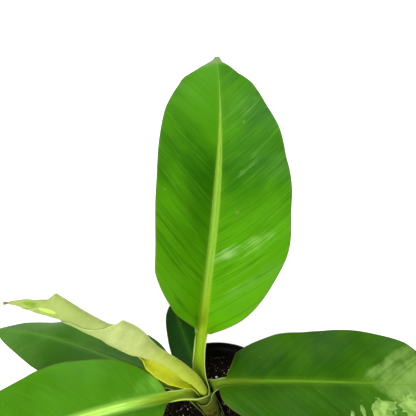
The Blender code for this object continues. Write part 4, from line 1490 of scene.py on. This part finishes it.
class PLANT_OT_pot(bpy.types.Operator):
    """Build the nursery pot with its stepped rim and drain holes"""

    bl_idname = "plant.pot"
    bl_label = "Pot"

    def execute(self, context):
        pot = context.scene.plant_pot
        looks = plain_finish("pot_plastic_looks", pot.plastic, 0.48, 0.55, 60.0, 0.0002, 0.08)
        place_piece("pot_moulded", pot_mesh(pot), looks, "pot")
        return {"FINISHED"}


class PLANT_OT_soil(bpy.types.Operator):
    """Build the soil with its crumbled top, and colour the corm inside it"""

    bl_idname = "plant.soil"
    bl_label = "Soil and corm"

    def execute(self, context):
        pot, soil = context.scene.plant_pot, context.scene.plant_soil
        looks = plain_finish("soil_looks", soil.peat, 0.14, 0.95, 900.0, 0.0006, 0.03)
        place_piece("soil_top", soil_mesh(pot, soil), looks, "soil")
        corm = plain_finish("corm_looks", soil.corm, 0.42, 0.8, 300.0, 0.0004)
        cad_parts["corm"].data.materials[0] = corm
        return {"FINISHED"}


class PLANT_OT_soil_grains(bpy.types.Operator):
    """Scatter perlite, bark chips and fibres over the soil"""

    bl_idname = "plant.soil_grains"
    bl_label = "Grains and fibres"

    def execute(self, context):
        pot, soil = context.scene.plant_pot, context.scene.plant_soil
        rng = np.random.default_rng(soil.seed)
        white = plain_finish("perlite_looks", soil.perlite, 0.72, 0.9, 900.0, 0.0003)
        wood = plain_finish("bark_looks", soil.wood, 0.1, 0.9, 500.0, 0.0004)
        kinds = (("perlite", soil.grains, white), ("dust", soil.dust, white), ("bark", soil.bark, wood))
        for name, amount, looks in kinds:
            stones = stones_mesh(name, rng, soil_places(pot, soil, rng, amount), *GRAINS[name])
            place_piece("soil_" + name, stones, looks)
        place_piece("soil_fibres", fibres_mesh(pot, soil, rng), wood)
        return {"FINISHED"}


class PLANT_OT_stage(bpy.types.Operator):
    """Set up the camera, the pale floor and the soft studio light"""

    bl_idname = "plant.stage"
    bl_label = "Stage"

    def execute(self, context):
        stage = context.scene.plant_stage
        context.scene.view_settings.view_transform = "Standard"
        stage_camera(stage)
        stage_floor(stage)
        stage_lights(stage)
        return {"FINISHED"}


STEPS = (
    ("plant_leaves", LeafSettings, (PLANT_OT_open_leaves,)),
    ("plant_roll", RollSettings, (PLANT_OT_rolled_leaf,)),
    ("plant_pot", PotSettings, (PLANT_OT_pot,)),
    ("plant_soil", SoilSettings, (PLANT_OT_soil, PLANT_OT_soil_grains)),
    ("plant_stage", StageSettings, (PLANT_OT_stage,)),
)


class VIEW3D_PT_plant(bpy.types.Panel):
    """Sizes, colours and building steps of the plant"""

    bl_label = "Potted banana plant"
    bl_space_type = "VIEW_3D"
    bl_region_type = "UI"
    bl_category = "Plant"

    def draw(self, context):
        for key, group, operators in STEPS:
            box = self.layout.box()
            for name in group.__annotations__:
                box.prop(getattr(context.scene, key), name)
            for operator in operators:
                box.operator(operator.bl_idname)


def register():
    """Adds the settings, the building steps and their panel."""
    for key, group, operators in STEPS:
        for part in (group, *operators):
            bpy.utils.register_class(part)
        setattr(bpy.types.Scene, key, PointerProperty(type=group))
    bpy.utils.register_class(VIEW3D_PT_plant)


def unregister():
    """Takes away all that register adds, in the opposite order."""
    bpy.utils.unregister_class(VIEW3D_PT_plant)
    for key, group, operators in reversed(STEPS):
        delattr(bpy.types.Scene, key)
        for part in reversed((group, *operators)):
            bpy.utils.unregister_class(part)


def main():
    """Builds the plant and its stage in order."""
    register()
    bpy.ops.plant.open_leaves()
    bpy.ops.plant.rolled_leaf()
    bpy.ops.plant.pot()
    bpy.ops.plant.soil()
    bpy.ops.plant.soil_grains()
    bpy.ops.plant.stage()


if __name__ == "__main__":
    main()
